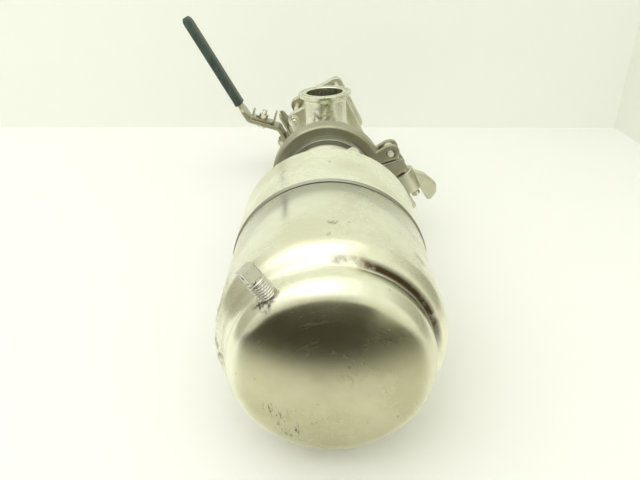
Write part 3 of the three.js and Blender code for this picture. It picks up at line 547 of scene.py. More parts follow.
def finish_shell(colour):
    """The spun shell: turned steel, with brown grime and painted shade in the shoulder's crease, a
    rust bloom, painted shade darkening the dome's face, a painted shadow line at the seam, and
    scuffs on the dome."""
    marks = [((-29, -337, 42), 9, 0.9), ((-51, -303, 20), 20, 0.5), ((-55, -316, 2), 12, 0.6),
             ((4, -297, 60), 3.5, 0.8), ((46, -300, 38), 6, 0.4)]
    # The seam under the collar gets a painted shadow line on the shell.
    material, tree, shader, at, tint, rough = steel(
        "spun_shell", colour, 0.25, lines=0.2, grain=0.15, marks=marks, dirt=0.3, gaps=[(SEAM_Y, 1.75, 1.0)])
    split = node(tree, "ShaderNodeSeparateXYZ", {"Vector": at}).outputs
    # Brown grime and painted shade in the shoulder's crease: a narrow band, heaviest on the upper right,
    # broken up by noise.
    along = math_node(tree, "SUBTRACT", split["Y"], (SHOULDER_STEP - 2.2) * MM)
    crease = ramp(tree, math_node(tree, "ABSOLUTE", along), 2.4 * MM, 0.4 * MM)
    right = ramp(tree, split["X"], -6 * MM, 16 * MM)
    upper = ramp(tree, split["Z"], -10 * MM, 20 * MM)
    shade_grime_and_rust_breakup = noise(tree, at, 60.0, 5.0, 0.65, 0.28, 0.5)
    side = times(tree, upper, ramp(tree, right, 0, 1, 0.15, 1.0))
    crease_grime_and_shade = times(tree, times(tree, crease, shade_grime_and_rust_breakup), side)
    tint = blend_colour(tree, crease_grime_and_shade, tint, CREASE_GRIME_AND_SHADE)
    bloom = times(tree, patch(tree, at, (14, SHOULDER_STEP - 1, 50), 8), shade_grime_and_rust_breakup)
    tint = blend_colour(tree, times(tree, bloom, 0.3), tint, RUST_BLOOM)
    # Painted shade: the dome's face is multiplied darker and yellower towards the crown.
    face = ramp(tree, split["Y"], (CROWN_Y + 10.5) * MM, (CROWN_Y + 6.5) * MM)
    face_shading = node(tree, "ShaderNodeMix", {"Factor": times(tree, face, 0.9)},
                 data_type="RGBA", blend_type="MULTIPLY")
    tree.links.new(tint, face_shading.inputs[6])
    face_shading.inputs[7].default_value = (*DOME_FACE_SHADE, 1)
    tint = face_shading.outputs[2]
    scratches = noise(tree, stretched(tree, at, (1.6, 1.0, 0.35)), 420.0, 5.0, 0.75, 0.55, 0.6)
    where = plus(tree, patch(tree, at, (-27, -345, -14), 9), patch(tree, at, (-22, -345, -27), 9), clamp=True)
    scuff = times(tree, times(tree, scratches, where), 0.75)
    tint = blend_colour(tree, scuff, tint, SCUFF_GREY)
    tree.links.new(tint, shader.inputs["Base Color"])
    rough = plus(tree, rough, times(tree, crease_grime_and_shade, 0.3), clamp=True)
    tree.links.new(rough, shader.inputs["Roughness"])
    return material


def finish_grip(colour, worn_colour):
    """Dipped vinyl: a pebbled dark coat with scuffed, paler flats and dusty edges."""
    material, tree, shader, at = surface("dipped_vinyl")
    pebble = noise(tree, at, 700.0, 3.0, 0.6, 0.3, 0.7)
    cloud = noise(tree, at, 45.0, 6.0, 0.65, 0.35, 0.7)
    scuff = noise(tree, stretched(tree, at, (1.0, 1.0, 0.3)), 220.0, 5.0, 0.75, 0.55, 0.7)
    tint = blend_colour(tree, cloud, colour, worn_colour)
    tint = blend_colour(tree, times(tree, scuff, 0.5), tint, DUSTY_GREEN)
    rough = plus(tree, times(tree, cloud, 0.2), 0.42)
    wire(tree, shader, tint, rough, plus(tree, pebble, scuff), 0.35, 0.12)
    return material


def finish_moulded(name, colour, roughness):
    """Moulded rubber or fluoropolymer: a faint mottle, fine pores and a soft sheen."""
    material, tree, shader, at = surface(name)
    mottle = noise(tree, at, 120.0, 5.0, 0.6, 0.3, 0.7)
    pores = noise(tree, at, 1400.0, 2.0, 0.5, 0.3, 0.7)
    tint = blend_colour(tree, mottle, colour, shade(colour, 0.82))
    rough = plus(tree, times(tree, mottle, 0.12), roughness - 0.06)
    wire(tree, shader, tint, rough, pores, 0.3, 0.03)
    return material


FINISHES = {}


def finishes():
    """The object's finishes, made once from the panel's colours."""
    if FINISHES:
        return FINISHES
    look = bpy.context.scene.valve_finish
    satin, blasted, polished = tuple(look.satin), tuple(look.blasted), tuple(look.polished)
    ground = tuple(0.5 * (a + b) for a, b in zip(satin, blasted))
    # Painted shadow lines on the collar: in the seam under it, along its chamfer and at the base's face.
    seam_shade_lines = [(SEAM_Y, 1.75, 1.0), (-240.65, 0.75, 0.55), (BASE_FACE_Y, 0.9, 0.75)]
    smudge = [((-3, -20, 36), 15, 0.6)]
    rust = [((-79.0, 100.0, 26.0), 9, 0.9), ((-70.0, 100.0, 12.0), 6, 0.5)]
    FINISHES.update(
        shell=finish_shell(satin),
        collar=finish_steel("collar_steel", satin, 0.28, lines=0.4, grain=0.2, gaps=seam_shade_lines),
        body=finish_steel("body_steel", shade(satin, 0.88), 0.26, lines=0.3, grain=0.2, marks=smudge),
        plug=finish_steel("plug_steel", shade(polished, 0.8), 0.26, dirt=0.7),
        satin=finish_steel("satin_steel", satin, 0.3, lines=0.6, grain=0.25),
        cast=finish_steel("blasted_steel", blasted, 0.42, grain=1.0, dirt=0.6),
        ground=finish_steel("ground_steel", ground, 0.33, grain=0.5, dirt=0.5),
        bright=finish_steel("polished_steel", polished, 0.2, lines=0.3, grain=0.2, dirt=0.4),
        bonnet=finish_steel("bonnet_steel", shade(satin, 0.62), 0.32, lines=0.6, grain=0.25, dirt=0.9),
        clamp=finish_steel("clamp_steel", shade(blasted, 0.88), 0.4, grain=1.0, dirt=0.8),
        dark=finish_steel("dull_steel", tuple(look.dull), 0.5, grain=0.8),
        lever=finish_steel("lever_steel", blasted, 0.38, grain=0.9, marks=rust, dirt=0.6),
        vinyl=finish_grip(tuple(look.vinyl), shade(look.vinyl, 1.9)),
        polymer=finish_moulded("fluoropolymer", tuple(look.polymer), 0.5),
        rubber=finish_moulded("black_rubber", (0.014, 0.014, 0.013), 0.65),
    )
    return FINISHES


# ------------------------------------------------------------------ actuator


def resampled(line, count):
    """The same line as count points, evenly spaced along it."""
    run = run_length(line)
    even = np.linspace(0, run[-1], count)
    return np.column_stack([np.interp(even, run, line[:, k]) for k in range(2)])


def make_shell():
    """Profile of the spun shell: a dome whose fall is the square of its radius, a knuckle arc that
    leaves it at the same slope, a neck, a shoulder and a straight wall. Round the axis the shoulder
    blends between a soft cove, on the plug's side, and a crease, by a smooth function of the angle."""
    knuckle, slope, segments = 12.0, math.radians(19.5), 288
    centre = (NECK_R - knuckle, NECK_END_Y)
    rim = (centre[0] + knuckle * math.sin(slope), centre[1] - knuckle * math.cos(slope))
    t = np.linspace(0, 1, 24)[:, None]
    dome = np.hstack([t * rim[0], CROWN_Y + (rim[1] - CROWN_Y) * t**2])
    a = np.linspace(slope, math.pi / 2, 18)[1:, None]
    arc = np.hstack([centre[0] + knuckle * np.sin(a), centre[1] - knuckle * np.cos(a)])
    neck, wall = (NECK_R, NECK_END_Y + 0.8), (SHELL_R, SHOULDER_STEP + 24)
    creased = [neck, (NECK_R, SHOULDER_STEP - 3.0, 3.5), (SHELL_R, SHOULDER_STEP + 2.6, 10.5), wall]
    coved = [neck, (NECK_R + 0.3, SHOULDER_STEP - 6.5, 12.0), (SHELL_R, SHOULDER_STEP + 6.5, 16.0), wall]
    creased, coved = (resampled(rounded(line, 14), 64)[:, None] for line in (creased, coved))
    clock = (TURN * np.arange(segments) / segments + math.pi) % TURN - math.pi
    cove_from, cove_to = -1.9, 0.02
    soft = 1 / (1 + np.exp((clock - cove_to) / 0.11)) / (1 + np.exp((cove_from - clock) / 0.2))
    shoulder = creased + (coved - creased) * soft[None, :, None]
    rest = rounded([wall, (SHELL_R, -244.4), (59.9, -243.8), (57.1, -243.8), (57.1, -227.0),
                    (54.4, -227.0), (54.4, -246.0), (57.0, -250.0), (57.0, SHOULDER_STEP + 7.0),
                    (48.0, SHOULDER_STEP + 0.5), (48.0, NECK_END_Y - 1), (38.0, NECK_END_Y - 9),
                    (0.0, CROWN_Y + 3.0)])[1:]
    front, inside = (np.repeat(line[:, None], segments, 1) for line in (np.vstack([dome, arc]), rest))
    rows = around(np.concatenate([front, shoulder, inside]), segments=segments)
    piece = skin("actuator_shell_spun", rows)
    ready(piece, "valve", ["actuator_shell"], finishes()["shell"], sharp=50)


def make_base():
    """The base is one turned loop: collar, plate, and a hub round the piston rod. The ring in the seam
    between collar and shell is another; its near-black rubber is painted shade for the seam's shadow."""
    hub = BASE_FACE_Y + 8.0
    profile = rounded([(COLLAR_R, BASE_FACE_Y, 1.0), (COLLAR_R, -240.1, 0.3), (59.9, -241.2, 0.1),
                       (58.0, -242.0, 0.1), (57.4, -242.0, 0.2), (57.4, BASE_FACE_Y - 8.0, 1.0),
                       (11.3, BASE_FACE_Y - 8.0), (11.3, hub), (19.7, hub, 0.4), (19.7, BASE_FACE_Y)],
                      closed=True)
    piece = skin("actuator_base_turned", around(profile, segments=256), loop=True)
    ready(piece, "valve", ["actuator_base"], finishes()["collar"], sharp=40)
    # Painted shade: the ring is near-black rubber, standing in for the shadow in the seam.
    groove = rounded([(57.45, SEAM_Y - 0.8), (58.2, SEAM_Y - 0.8, 0.2), (58.2, SEAM_Y + 0.8, 0.2),
                      (57.45, SEAM_Y + 0.8)], closed=True)
    piece = skin("groove_ring", around(groove, segments=192), loop=True)
    ready(piece, "valve", ["retaining_ring"], finishes()["rubber"])


def make_vent_plug():
    """Tapered screw under a square head whose faces are the rounded square's sides, with chamfered
    ends and a drilled cross hole."""
    at, turn, hole_z = (0, VENT_Y), math.radians(40), 64.6
    heights = np.linspace(48.2, 61.0, 130)
    radii = np.interp(heights, [48.2, 59.3, 59.9, 61.0], [4.55, 5.0, 4.2, 4.1])
    stem = np.vstack([[0, 48.2], np.column_stack([radii, heights]), [0, 61.0]])
    screw = skin("vent_plug_screw", around(stem, "Z", at, 72, thread(1.35, 0.75, 48.4, 59.6)), VENT_CLOCK)
    head = rounded([(0.0, 60.4), (4.3, 60.4, 0.3), (7.0, 61.6, 0.3), (7.0, 67.1, 0.3),
                    (5.6, 67.5, 0.2), (0.0, 67.5)], 3)
    half = bpy.context.scene.valve_size.plug_flats / MM / 2
    block = skin("vent_plug_head", around(head, "Z", at, 96, rounded_square(half, 0.55, turn)), VENT_CLOCK)
    drill = around(rounded([(0.0, -9.0), (1.0, -9.0), (1.0, 9.0), (0.0, 9.0)]), "X", (0, 0), 24)
    x, y, z = drill[..., 0], drill[..., 1], drill[..., 2]
    turned = np.stack([x * math.cos(turn) - y * math.sin(turn),
                       y * math.cos(turn) + x * math.sin(turn) + VENT_Y, z + hole_z], -1)
    combine(block, [skin("drill", turned, VENT_CLOCK)], "DIFFERENCE")
    combine(screw, [block], "UNION")
    screw.name = "vent_plug_square_head"
    ready(screw, "valve", ["vent_plug"], finishes()["plug"], sharp=35)


def make_air_fitting():
    """One turned loop whose lower rows are held in by a hexagon, with a release groove round the
    sleeve above it."""
    rows = rounded([(2.6, -184.5), (6.95, -184.5), (6.95, -175.2), (5.2, -175.0, 0.3), (5.2, -171.5, 0.3),
                    (4.6, -171.2, 0.2), (4.6, -170.4, 0.2), (5.2, -170.0, 0.3), (5.2, -161.2, 0.8),
                    (3.3, -161.2, 0.4), (2.6, -164.0)], 3, closed=True)
    rows = np.vstack([rows[:1], spaced(rows[1:], 1.2)])
    piece = skin("air_fitting_collet", around(rows, "Y", (0, 51.5), 96, hexagon(12.0, -184.5, -175.1)),
                 AIR_CLOCK, loop=True)
    ready(piece, "valve", ["air_fitting"], finishes()["bright"], sharp=30)


def make_springs():
    """A wire circle carried along a helix: the angle grows evenly with height."""
    for name, radius, wire, turns in (("outer_spring", 42.0, 3.2, 5), ("inner_spring", 25.0, 2.4, 6)):
        low, high = (v.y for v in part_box(name))
        ends = (low - BRANCH_Y) / MM + wire, (high - BRANCH_Y) / MM - wire
        t = np.linspace(0, 1, turns * 48)[:, None]
        a, b = TURN * turns * t, TURN * np.arange(16)[None] / 16
        reach = radius + wire * np.cos(b)
        height = ends[1] + (ends[0] - ends[1]) * t + wire * np.sin(b)
        rows = np.stack([reach * np.cos(a), height + 0 * a, reach * np.sin(a)], -1)
        piece = skin(name + "_coiled", rows, caps=True)
        ready(piece, "valve", [name], finishes()["dark"], sharp=60)
        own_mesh(piece)


def make_mounting_screws():
    """Turned round-headed screws with a socket, at four even clock angles."""
    rows = rounded([(0.0, -190.4), (2.4, -190.4), (2.4, -175.7), (4.2, -175.7, 0.2), (4.2, -170.8, 0.5),
                    (2.0, -170.8, 0.2), (2.0, -173.2), (0.0, -173.2)], 4)
    for k in range(4):
        piece = skin(f"cap_screw_{k + 1}", around(rows, "Y", (0, 31.5), 64), 45 + 90 * k)
        ready(piece, "valve", [f"mounting_screw_{k + 1}"], finishes()["dark"], sharp=35)


# ------------------------------------------------------------------ bonnet, stem and body


def make_bonnet():
    """A turned loop: flange, cone, neck and foot. Its window is a rounded slot carried across it."""
    profile = rounded([(FLANGE_R, -81.2), (FLANGE_R, -83.5, 0.4), (38.6, -85.8, 0.6), (35.0, -86.6, 1.2),
                       (35.0, -98.0, 5.0), (26.0, -110.0, 6.0), (26.0, -176.0, 2.0), (38.0, -176.0, 0.8),
                       (38.0, -184.7, 0.5), (20.0, -184.7), (20.0, -120.0), (9.3, -120.0),
                       (9.3, -105.0), (23.0, -105.0), (23.0, -97.0), (30.0, -88.0), (30.0, -81.2)],
                      closed=True)
    bonnet = skin("bonnet_yoke", around(profile, segments=192), loop=True)
    slot = rectangle(12.6, 17.6, 6.0, 6) + np.array([0, -144.0])
    window = plate(slot, -40, 40, 0.01, "X")[..., [0, 2, 1]]
    combine(bonnet, [skin("window", window, caps=True)], "DIFFERENCE")
    ready(bonnet, "valve", ["bonnet"], finishes()["bonnet"], sharp=32)


def make_stem():
    """Three turned pieces on the main axis: the stem with its plug, the plug's seal, which is a cone
    with a lip, and the coupling sleeve with a groove round it."""
    plug = rounded([(0.0, -139.5), (5.6, -139.5, 0.3), (6.0, -138.9), (6.0, -78.5, 0.6),
                    (12.0, -78.5, 0.5), (12.0, -75.0, 0.8), (6.0, -73.0, 1.5), (6.0, 10.0, 2.0),
                    (9.0, 14.0, 0.6), (21.5, 14.0, 0.6), (21.5, 18.7, 0.6), (10.0, 19.0, 0.3),
                    (10.0, 27.0, 0.3), (14.5, 27.0, 0.5), (14.5, 29.5, 0.7), (10.0, 31.5, 0.8), (0.0, 31.5)])
    piece = skin("valve_stem_plug", around(plug, segments=96))
    ready(piece, "stem", ["valve_stem"], finishes()["bright"], sharp=40)
    seal = rounded([(10.3, 19.4), (24.0, 19.4, 0.5), (19.6, 26.7, 0.5), (10.3, 26.7)], closed=True)
    piece = skin("plug_seal_ring", around(seal, segments=128), loop=True)
    ready(piece, "stem", ["plug_seal"], finishes()["polymer"], sharp=40)
    coupling = rounded([(8.3, -151.0), (12.4, -151.0, 0.8), (12.4, -147.5, 0.3), (11.8, -146.9, 0.2),
                        (11.8, -146.1, 0.2), (12.4, -145.5, 0.3), (12.4, -128.0, 1.0), (6.3, -128.0),
                        (6.3, -139.6), (8.3, -139.9)], 4, closed=True)
    piece = skin("stem_coupling_sleeve", around(coupling, segments=96), loop=True)
    ready(piece, "stem", ["stem_coupling"], finishes()["cast"], sharp=40)


def ferrule(face):
    """Clamp ferrule profile up to its face: the tube, a cone and a thin rounded rim with a shallow
    gasket groove."""
    return [(TUBE_R, face - 6.4, 1.2), (FERRULE_R, face - 2.9, 0.5), (FERRULE_R, face, 0.5),
            (22.6, face, 0.25), (22.1, face - 0.7, 0.25), (21.2, face - 0.7, 0.25), (20.7, face, 0.25),
            (BORE_R, face, 0.3)]


def make_body():
    """The bowl and the branch are two turned shells, joined, and the chamber and the branch's bore
    are two turned solids, cut out. A groove for the gasket is cut in the branch's face."""
    bowl = rounded([(0.0, -78.8), (FLANGE_R, -78.8, 0.3), (FLANGE_R, -76.5, 0.5), (38.6, -74.2, 0.8),
                    (36.0, -73.2, 1.0), (36.0, -48.0, 14.0), (30.0, -14.0, 14.0), (30.0, 14.0, 9.0),
                    (22.5, 29.0, 6.0), (TUBE_R, 36.0, 5.0), (TUBE_R, 57.7, 0.3), (0.0, 57.7)], 10)
    body = skin("valve_body_shell", around(bowl, segments=192))
    branch = rounded([(0.0, 12.0), (TUBE_R, 12.0)] + ferrule(BRANCH_TOP)[:3] + [(0.0, BRANCH_TOP)], 8)
    upright = skin("branch", around(branch, "Z", segments=160))
    inside = rounded([(0.0, -80.0), (32.5, -80.0), (32.5, -48.0, 10.0), (26.5, -14.0, 10.0),
                      (26.5, 16.0, 1.0), (BORE_R, 31.0, 1.0), (BORE_R, 60.0), (0.0, 60.0)], 8)
    chamber = skin("chamber", around(inside, segments=160))
    mouth = BORE_R + 0.6
    hole = [(0, 5), (BORE_R, 5), (BORE_R, BRANCH_TOP - 0.6), (mouth, BRANCH_TOP + 0.1),
            (mouth, BRANCH_TOP + 3), (0, BRANCH_TOP + 3)]
    bore = skin("bore", around(hole, "Z", segments=160))
    groove = [(20.7, BRANCH_TOP + 1), (22.6, BRANCH_TOP + 1), (22.3, BRANCH_TOP - 0.7),
              (21.0, BRANCH_TOP - 0.7)]
    seat = skin("seat", around(groove, "Z", segments=160), loop=True)
    combine(body, [upright], "UNION")
    combine(body, [chamber, bore, seat], "DIFFERENCE")
    ready(body, "valve", ["valve_body"], finishes()["body"], sharp=32)


# ------------------------------------------------------------------ clamp


def sector(name, side):
    """One side of the split plane, as a wide slab turned by the split angle."""
    inset, reach = 0.6, 120.0
    low, high = (-reach, -inset) if side < 0 else (inset, reach)
    wide = plate(rectangle((high - low) / 2, reach, 0.01, 1), JOINT_Y - 30, JOINT_Y + 30, 0.01)
    wide[..., 0] += (low + high) / 2
    return skin(name, clocked(wide, SPLIT_ANGLE), CLAMP_CLOCK, caps=True)


def rod(name, radius, low, high, axis="Y", at=(0.0, 0.0), clock=CLAMP_CLOCK, edge=0.4, segments=64):
    """A turned cylinder with rounded edges."""
    profile = rounded([(0.0, low), (radius, low, edge), (radius, high, edge), (0.0, high)], 3)
    return skin(name, around(profile, axis, at, segments), clock)


def slab(name, corners, low, high):
    """A block with rounded plan corners given as (x, z, fillet)."""
    return skin(name, plate(rounded(corners, 5, closed=True), low, high, 0.4), CLAMP_CLOCK, caps=True)


def make_clamp():
    """A turned band with a grooved inside, cut by the split plane. Each half gets an ear for the
    bolt and turned knuckles for the hinge, and is then rounded as a casting."""
    half, groove, lip, floor_gap, knuckle_gap = 9.0, 4.2, 39.0, 4.3, 4.9
    low, high = JOINT_Y - half, JOINT_Y + half
    band = rounded([(lip, low, 0.8), (47.0, low, 1.2), (48.5, low + 2.2, 1.0), (48.5, high - 2.2, 1.0),
                    (47.0, high, 1.2), (lip, high, 0.8), (lip, JOINT_Y + groove + 2.4, 0.4),
                    (BAND_GROOVE_R, JOINT_Y + groove, 0.4), (BAND_GROOVE_R, JOINT_Y - groove, 0.4),
                    (lip, JOINT_Y - groove - 2.4, 0.4)], 4, closed=True)
    split = math.radians(SPLIT_ANGLE)
    hinge = (-HINGE_R * math.sin(split), -HINGE_R * math.cos(split))
    fork = [(1.0, 44.0, 0.5), (16.0, 44.0, 2.0), (16.0, 60.0, 5.5), (10.5, 65.0, 5.5), (4.0, 65.0, 5.5),
            (1.0, 58.0, 4.0)]
    lug = [(8.0, 42.0, 0.5), (28.5, 42.0, 3.0), (28.5, 63.0, 3.5), (17.5, 63.0, 5.0), (8.0, 52.0, 4.0)]
    plans = (("clamp_upper_half", -1, fork, 49.0, [(JOINT_Y - 4.5, JOINT_Y + 4.5)],
              [(JOINT_Y - 20, JOINT_Y - groove), (JOINT_Y + groove, JOINT_Y + 20)]),
             ("clamp_lower_half", 1, lug, 51.0, [(low, JOINT_Y - knuckle_gap), (JOINT_Y + knuckle_gap, high)],
              [(JOINT_Y - knuckle_gap, JOINT_Y + knuckle_gap)]))
    for name, side, corners, floor, knuckles, gaps in plans:
        piece = skin(name + "_cast", around(band, segments=224), CLAMP_CLOCK, loop=True)
        ear = slab("ear", corners, low, high)
        notch = slab("notch", [(-20, floor, 2.5), (60, floor, 2.5), (60, 90, 1), (-20, 90, 1)],
                     JOINT_Y - floor_gap, JOINT_Y + floor_gap)
        hollow = rod("hollow", BAND_GROOVE_R, JOINT_Y - groove, JOINT_Y + groove, segments=160)
        combine(ear, [notch, hollow], "DIFFERENCE")
        combine(piece, [ear], "UNION")
        combine(piece, [sector("sector", side)], "INTERSECT")
        combine(piece, [rod(f"gap_{k}", 6.6, a, b, at=hinge) for k, (a, b) in enumerate(gaps)], "DIFFERENCE")
        eyes = [rod(f"eye_{k}", 6.0, a, b, at=hinge) for k, (a, b) in enumerate(knuckles)]
        for eye in eyes:
            hollow = rod("hollow", BAND_GROOVE_R, JOINT_Y - groove, JOINT_Y + groove, segments=160)
            combine(eye, [hollow], "DIFFERENCE")
        combine(piece, eyes, "UNION")
        combine(piece, [rod("pin_hole", 3.2, -110, -50, at=hinge)], "DIFFERENCE")
        if side < 0:
            combine(piece, [rod("pivot_hole", 3.2, -110, -50, at=(PIVOT_X, BOLT_LINE))], "DIFFERENCE")
        cast(piece, 0.62, 4)
        ready(piece, "valve", [name], finishes()["clamp"])
    pin = rounded([(0.0, -90.0), (3.0, -90.0, 0.5), (3.0, -70.7), (4.4, -70.7, 0.3), (4.4, -69.0, 0.8),
                   (0.0, -69.0)], 3)
    for name, at in (("clamp_hinge_pin", hinge), ("swing_bolt_pin", (PIVOT_X, BOLT_LINE))):
        piece = skin(name + "_headed", around(pin, "Y", at, 48), CLAMP_CLOCK)
        ready(piece, "valve", [name], finishes()["bright"], sharp=40)


def make_swing_bolt():
    """A turned eye across the end of a turned shank, whose radius follows the screw's ripple."""
    eye = rod("swing_bolt_threaded", 6.0, JOINT_Y - 3.9, JOINT_Y + 3.9, at=(PIVOT_X, BOLT_LINE), edge=0.7)
    heights = np.concatenate([[PIVOT_X + 3, 18.0], np.arange(18.2, 55.4, 0.16), [55.6, 56.0]])
    radii = np.where(heights > 55.3, 3.3, 3.9)
    rows = np.vstack([[0, heights[0]], np.column_stack([radii, heights]), [0, 56.0]])
    shank = skin("shank", around(rows, "X", (JOINT_Y, BOLT_LINE), 48, thread(1.25, 0.55, 18.0, 56.0)),
                 CLAMP_CLOCK)
    combine(eye, [shank], "UNION")
    combine(eye, [rod("pin_hole", 3.15, -110, -50, at=(PIVOT_X, BOLT_LINE))], "DIFFERENCE")
    ready(eye, "swing_bolt", ["swing_bolt"], finishes()["bright"], sharp=38)


def make_wing_nut():
    """A tapered turned hub with two flat wings of one outline, mirrored, bored and then rounded as a
    casting."""
    nut_x = 30.6
    wing_half = bpy.context.scene.valve_size.wing_thickness / MM / 2
    hub = rounded([(0.0, nut_x), (9.2, nut_x, 0.6), (8.6, nut_x + 9, 3.0), (7.4, nut_x + 20, 1.2),
                   (0.0, nut_x + 20)], 5)
    piece = skin("wing_nut_cast", around(hub, "X", (JOINT_Y, BOLT_LINE), 96), CLAMP_CLOCK)
    wing = [(5.0, 0.0, 0.1), (4.3, 9.0, 3.5), (12.0, 15.0, 5.0), (25.0, 19.2, 4.0), (32.3, 15.7, 3.0),
            (35.6, 8.5, 2.5), (34.0, 5.3, 1.5), (19.5, 5.3, 1.5), (19.0, 0.0, 0.1)]
    for k, flip in enumerate((1, -1)):
        corners = [(nut_x + x, BOLT_LINE + flip * z, f) for x, z, f in wing]
        outline = rounded(corners, 6, closed=True)
        blade = skin(f"wing_{k}", plate(outline, JOINT_Y - wing_half, JOINT_Y + wing_half, 1.4),
                     CLAMP_CLOCK, caps=True)
        combine(piece, [blade], "UNION")
    combine(piece, [rod("nut_thread", 4.15, -10, 90, "X", (JOINT_Y, BOLT_LINE))], "DIFFERENCE")
    cast(piece, 0.5, 5)
    ready(piece, "wing_nut", ["wing_nut"], finishes()["ground"])


# ------------------------------------------------------------------ ball valve


FLANGE_REACH = 48.0


def make_end_caps():
    """Each cap is one turned loop whose flange rows are held in by a rounded square."""
    square = rounded_square(33.3, 7.5)
    inlet_low, outlet_low, thick = 62.0, 127.0, 11.0
    inlet = rounded([(BORE_R, 58.0), (TUBE_R, 58.0, 0.3), (TUBE_R, 59.5, 0.8), (24.5, inlet_low, 0.8),
                     (FLANGE_REACH, inlet_low), (FLANGE_REACH, 73.0), (BORE_R, 73.0)], 4, closed=True)
    outlet = rounded([(BORE_R, outlet_low), (FLANGE_REACH, outlet_low), (FLANGE_REACH, 138.0),
                      (26.0, 138.0, 1.2), (25.0, 140.5, 2.0), (TUBE_R, 145.0, 3.0)] + ferrule(OUTLET_Y),
                     5, closed=True)
    for name, rows, low in (("inlet_end_cap", inlet, inlet_low), ("outlet_end_cap", outlet, outlet_low)):
        high = low + thick
        shape = edge_rounding(square, low, high)
        rows = around(soften(rows, low, high), segments=288, ripple=shape)
        piece = skin(name + "_cast", rows, BALL_CLOCK, loop=True)
        ready(piece, "valve", [name], finishes()["ground"], sharp=38)


def soften(rows, low, high):
    """Adds rows near both flange edges, so that the edge rounding has points to move."""
    flange = rows[:, 0] > 40
    steps = np.array([0.0, 0.12, 0.3, 0.6, 1.0, 1.4])
    heights = np.concatenate([low + steps, (high - steps)[::-1]])
    start = int(np.argmax(flange))
    before, after = rows[:start], rows[start + int(flange.sum()):]
    edge = np.column_stack([np.full(len(heights), FLANGE_REACH), heights])
    return np.vstack([before, [[30.0, low]], edge, [[30.0, high]], after])


def edge_rounding(shape, low, high, edge=1.2):
    """Draws the outline in by a circle's quarter near each face of the flange."""
    def ripple(angle, height, radius):
        depth = np.clip(np.minimum(height - low, high - height), 0, edge)
        inset = edge - np.sqrt(np.maximum(edge**2 - (edge - depth) ** 2, 0))
        outer = shape(angle, height, radius)
        return np.where((radius > 40) & (height >= low) & (height <= high), outer - inset, outer)
    return ripple


def make_centre_body():
    """A turned barrel with a rectangular pad for the stem, and two turned holes."""
    barrel = rounded([(0.0, 73.3), (32.0, 73.3, 0.8), (32.0, 126.7, 0.8), (0.0, 126.7)], 4)
    piece = skin("centre_body_cast", around(barrel, segments=160), BALL_CLOCK)
    pad = plate(rectangle(17.0, 15.0, 3.0, 5) + np.array([0, BALL_Y]), 0, 41.2, 1.0, "Z")
    combine(piece, [skin("pad", pad, BALL_CLOCK, caps=True)], "UNION")
    inside = rod("cavity", 26.7, 60, 140, clock=BALL_CLOCK, segments=128)
    stem_hole = rod("stem_hole", 10.0, 10, 50, "Z", (0, BALL_Y), BALL_CLOCK)
    combine(piece, [inside, stem_hole], "DIFFERENCE")
    ready(piece, "valve", ["centre_body"], finishes()["cast"], sharp=35)


def make_ball():
    """A sphere with its bore: the arc of the sphere and the bore's line, turned about the bore."""
    edge = math.asin(BALL_BORE_R / BALL_R)
    a = np.linspace(edge, math.pi - edge, 48)
    arc = np.column_stack([BALL_R * np.sin(a), -BALL_R * np.cos(a)])
    piece = skin("ball_polished", around(arc, "X", (BALL_Y, 0), 128), BALL_CLOCK, loop=True)
    ready(piece, "lever", ["ball"], finishes()["bright"], sharp=40)
    for k, side in enumerate((-1, 1)):
        seat = rounded([(16.9, 20.0), (20.0, 17.0), (22.5, 14.0), (26.3, 14.0), (26.3, 26.6),
                        (BORE_R, 26.6, 0.4)], 3, closed=True)
        seat[:, 1] = BALL_Y + side * seat[:, 1]
        piece = skin(f"ball_seat_lip_{k + 1}", around(seat, segments=96), BALL_CLOCK, loop=True)
        ready(piece, "valve", [f"ball_seat_{k + 1}"], finishes()["polymer"], sharp=30)


def nut(name, flats, low, high, bore, axis, at):
    """Hexagon rows with a bore, turned about an axis of the ball valve."""
    rows = around(hex_rows(flats, low, high, bore), axis, at, 144, hexagon(flats, low, high))
    return skin(name, rows, BALL_CLOCK, loop=True)


def make_ball_stem():
    """The stem's turned pieces from the ball outwards: threaded stem, gland, dished washer, nuts."""
    look = finishes()
    at, stem_r, thread_low, tip = (0, BALL_Y), 6.4, 46.0, 62.5
    screwed = np.column_stack([np.full(80, stem_r), np.linspace(thread_low, tip - 0.9, 80)])
    shaft = np.vstack([[0, 26.4], [stem_r, 26.4], [stem_r, 44.0], screwed, [5.7, tip], [0, tip]])
    ripple = thread(1.6, 0.6, thread_low - 1, tip - 0.3)
    piece = skin("ball_stem_threaded", around(shaft, "Z", at, 64, ripple), BALL_CLOCK)
    ready(piece, "lever", ["ball_stem"], look["bright"], sharp=40)
    ready(nut("stem_nut_hex", 17.0, 54.3, 59.5, 6.5, "Z", at),
          "lever", ["stem_nut"], look["bright"], sharp=30)
    ready(nut("packing_nut_hex", 19.0, 46.3, 49.7, 6.5, "Z", at),
          "lever", ["packing_nut"], look["cast"], sharp=30)
    dish = rounded([(6.7, 45.2), (11.5, 44.4, 0.2), (11.5, 45.2, 0.2), (6.9, 46.1)], 3, closed=True)
    ready(skin("spring_washer_dished", around(dish, "Z", at, 64), BALL_CLOCK, loop=True),
          "lever", ["spring_washer"], look["dark"], sharp=30)
    ring = rounded([(6.8, 35.3), (9.7, 35.3), (9.7, 43.6, 0.5), (6.8, 43.6, 0.3)], 3, closed=True)
    ready(skin("gland_ring", around(ring, "Z", at, 64), BALL_CLOCK, loop=True),
          "valve", ["gland"], look["cast"], sharp=30)


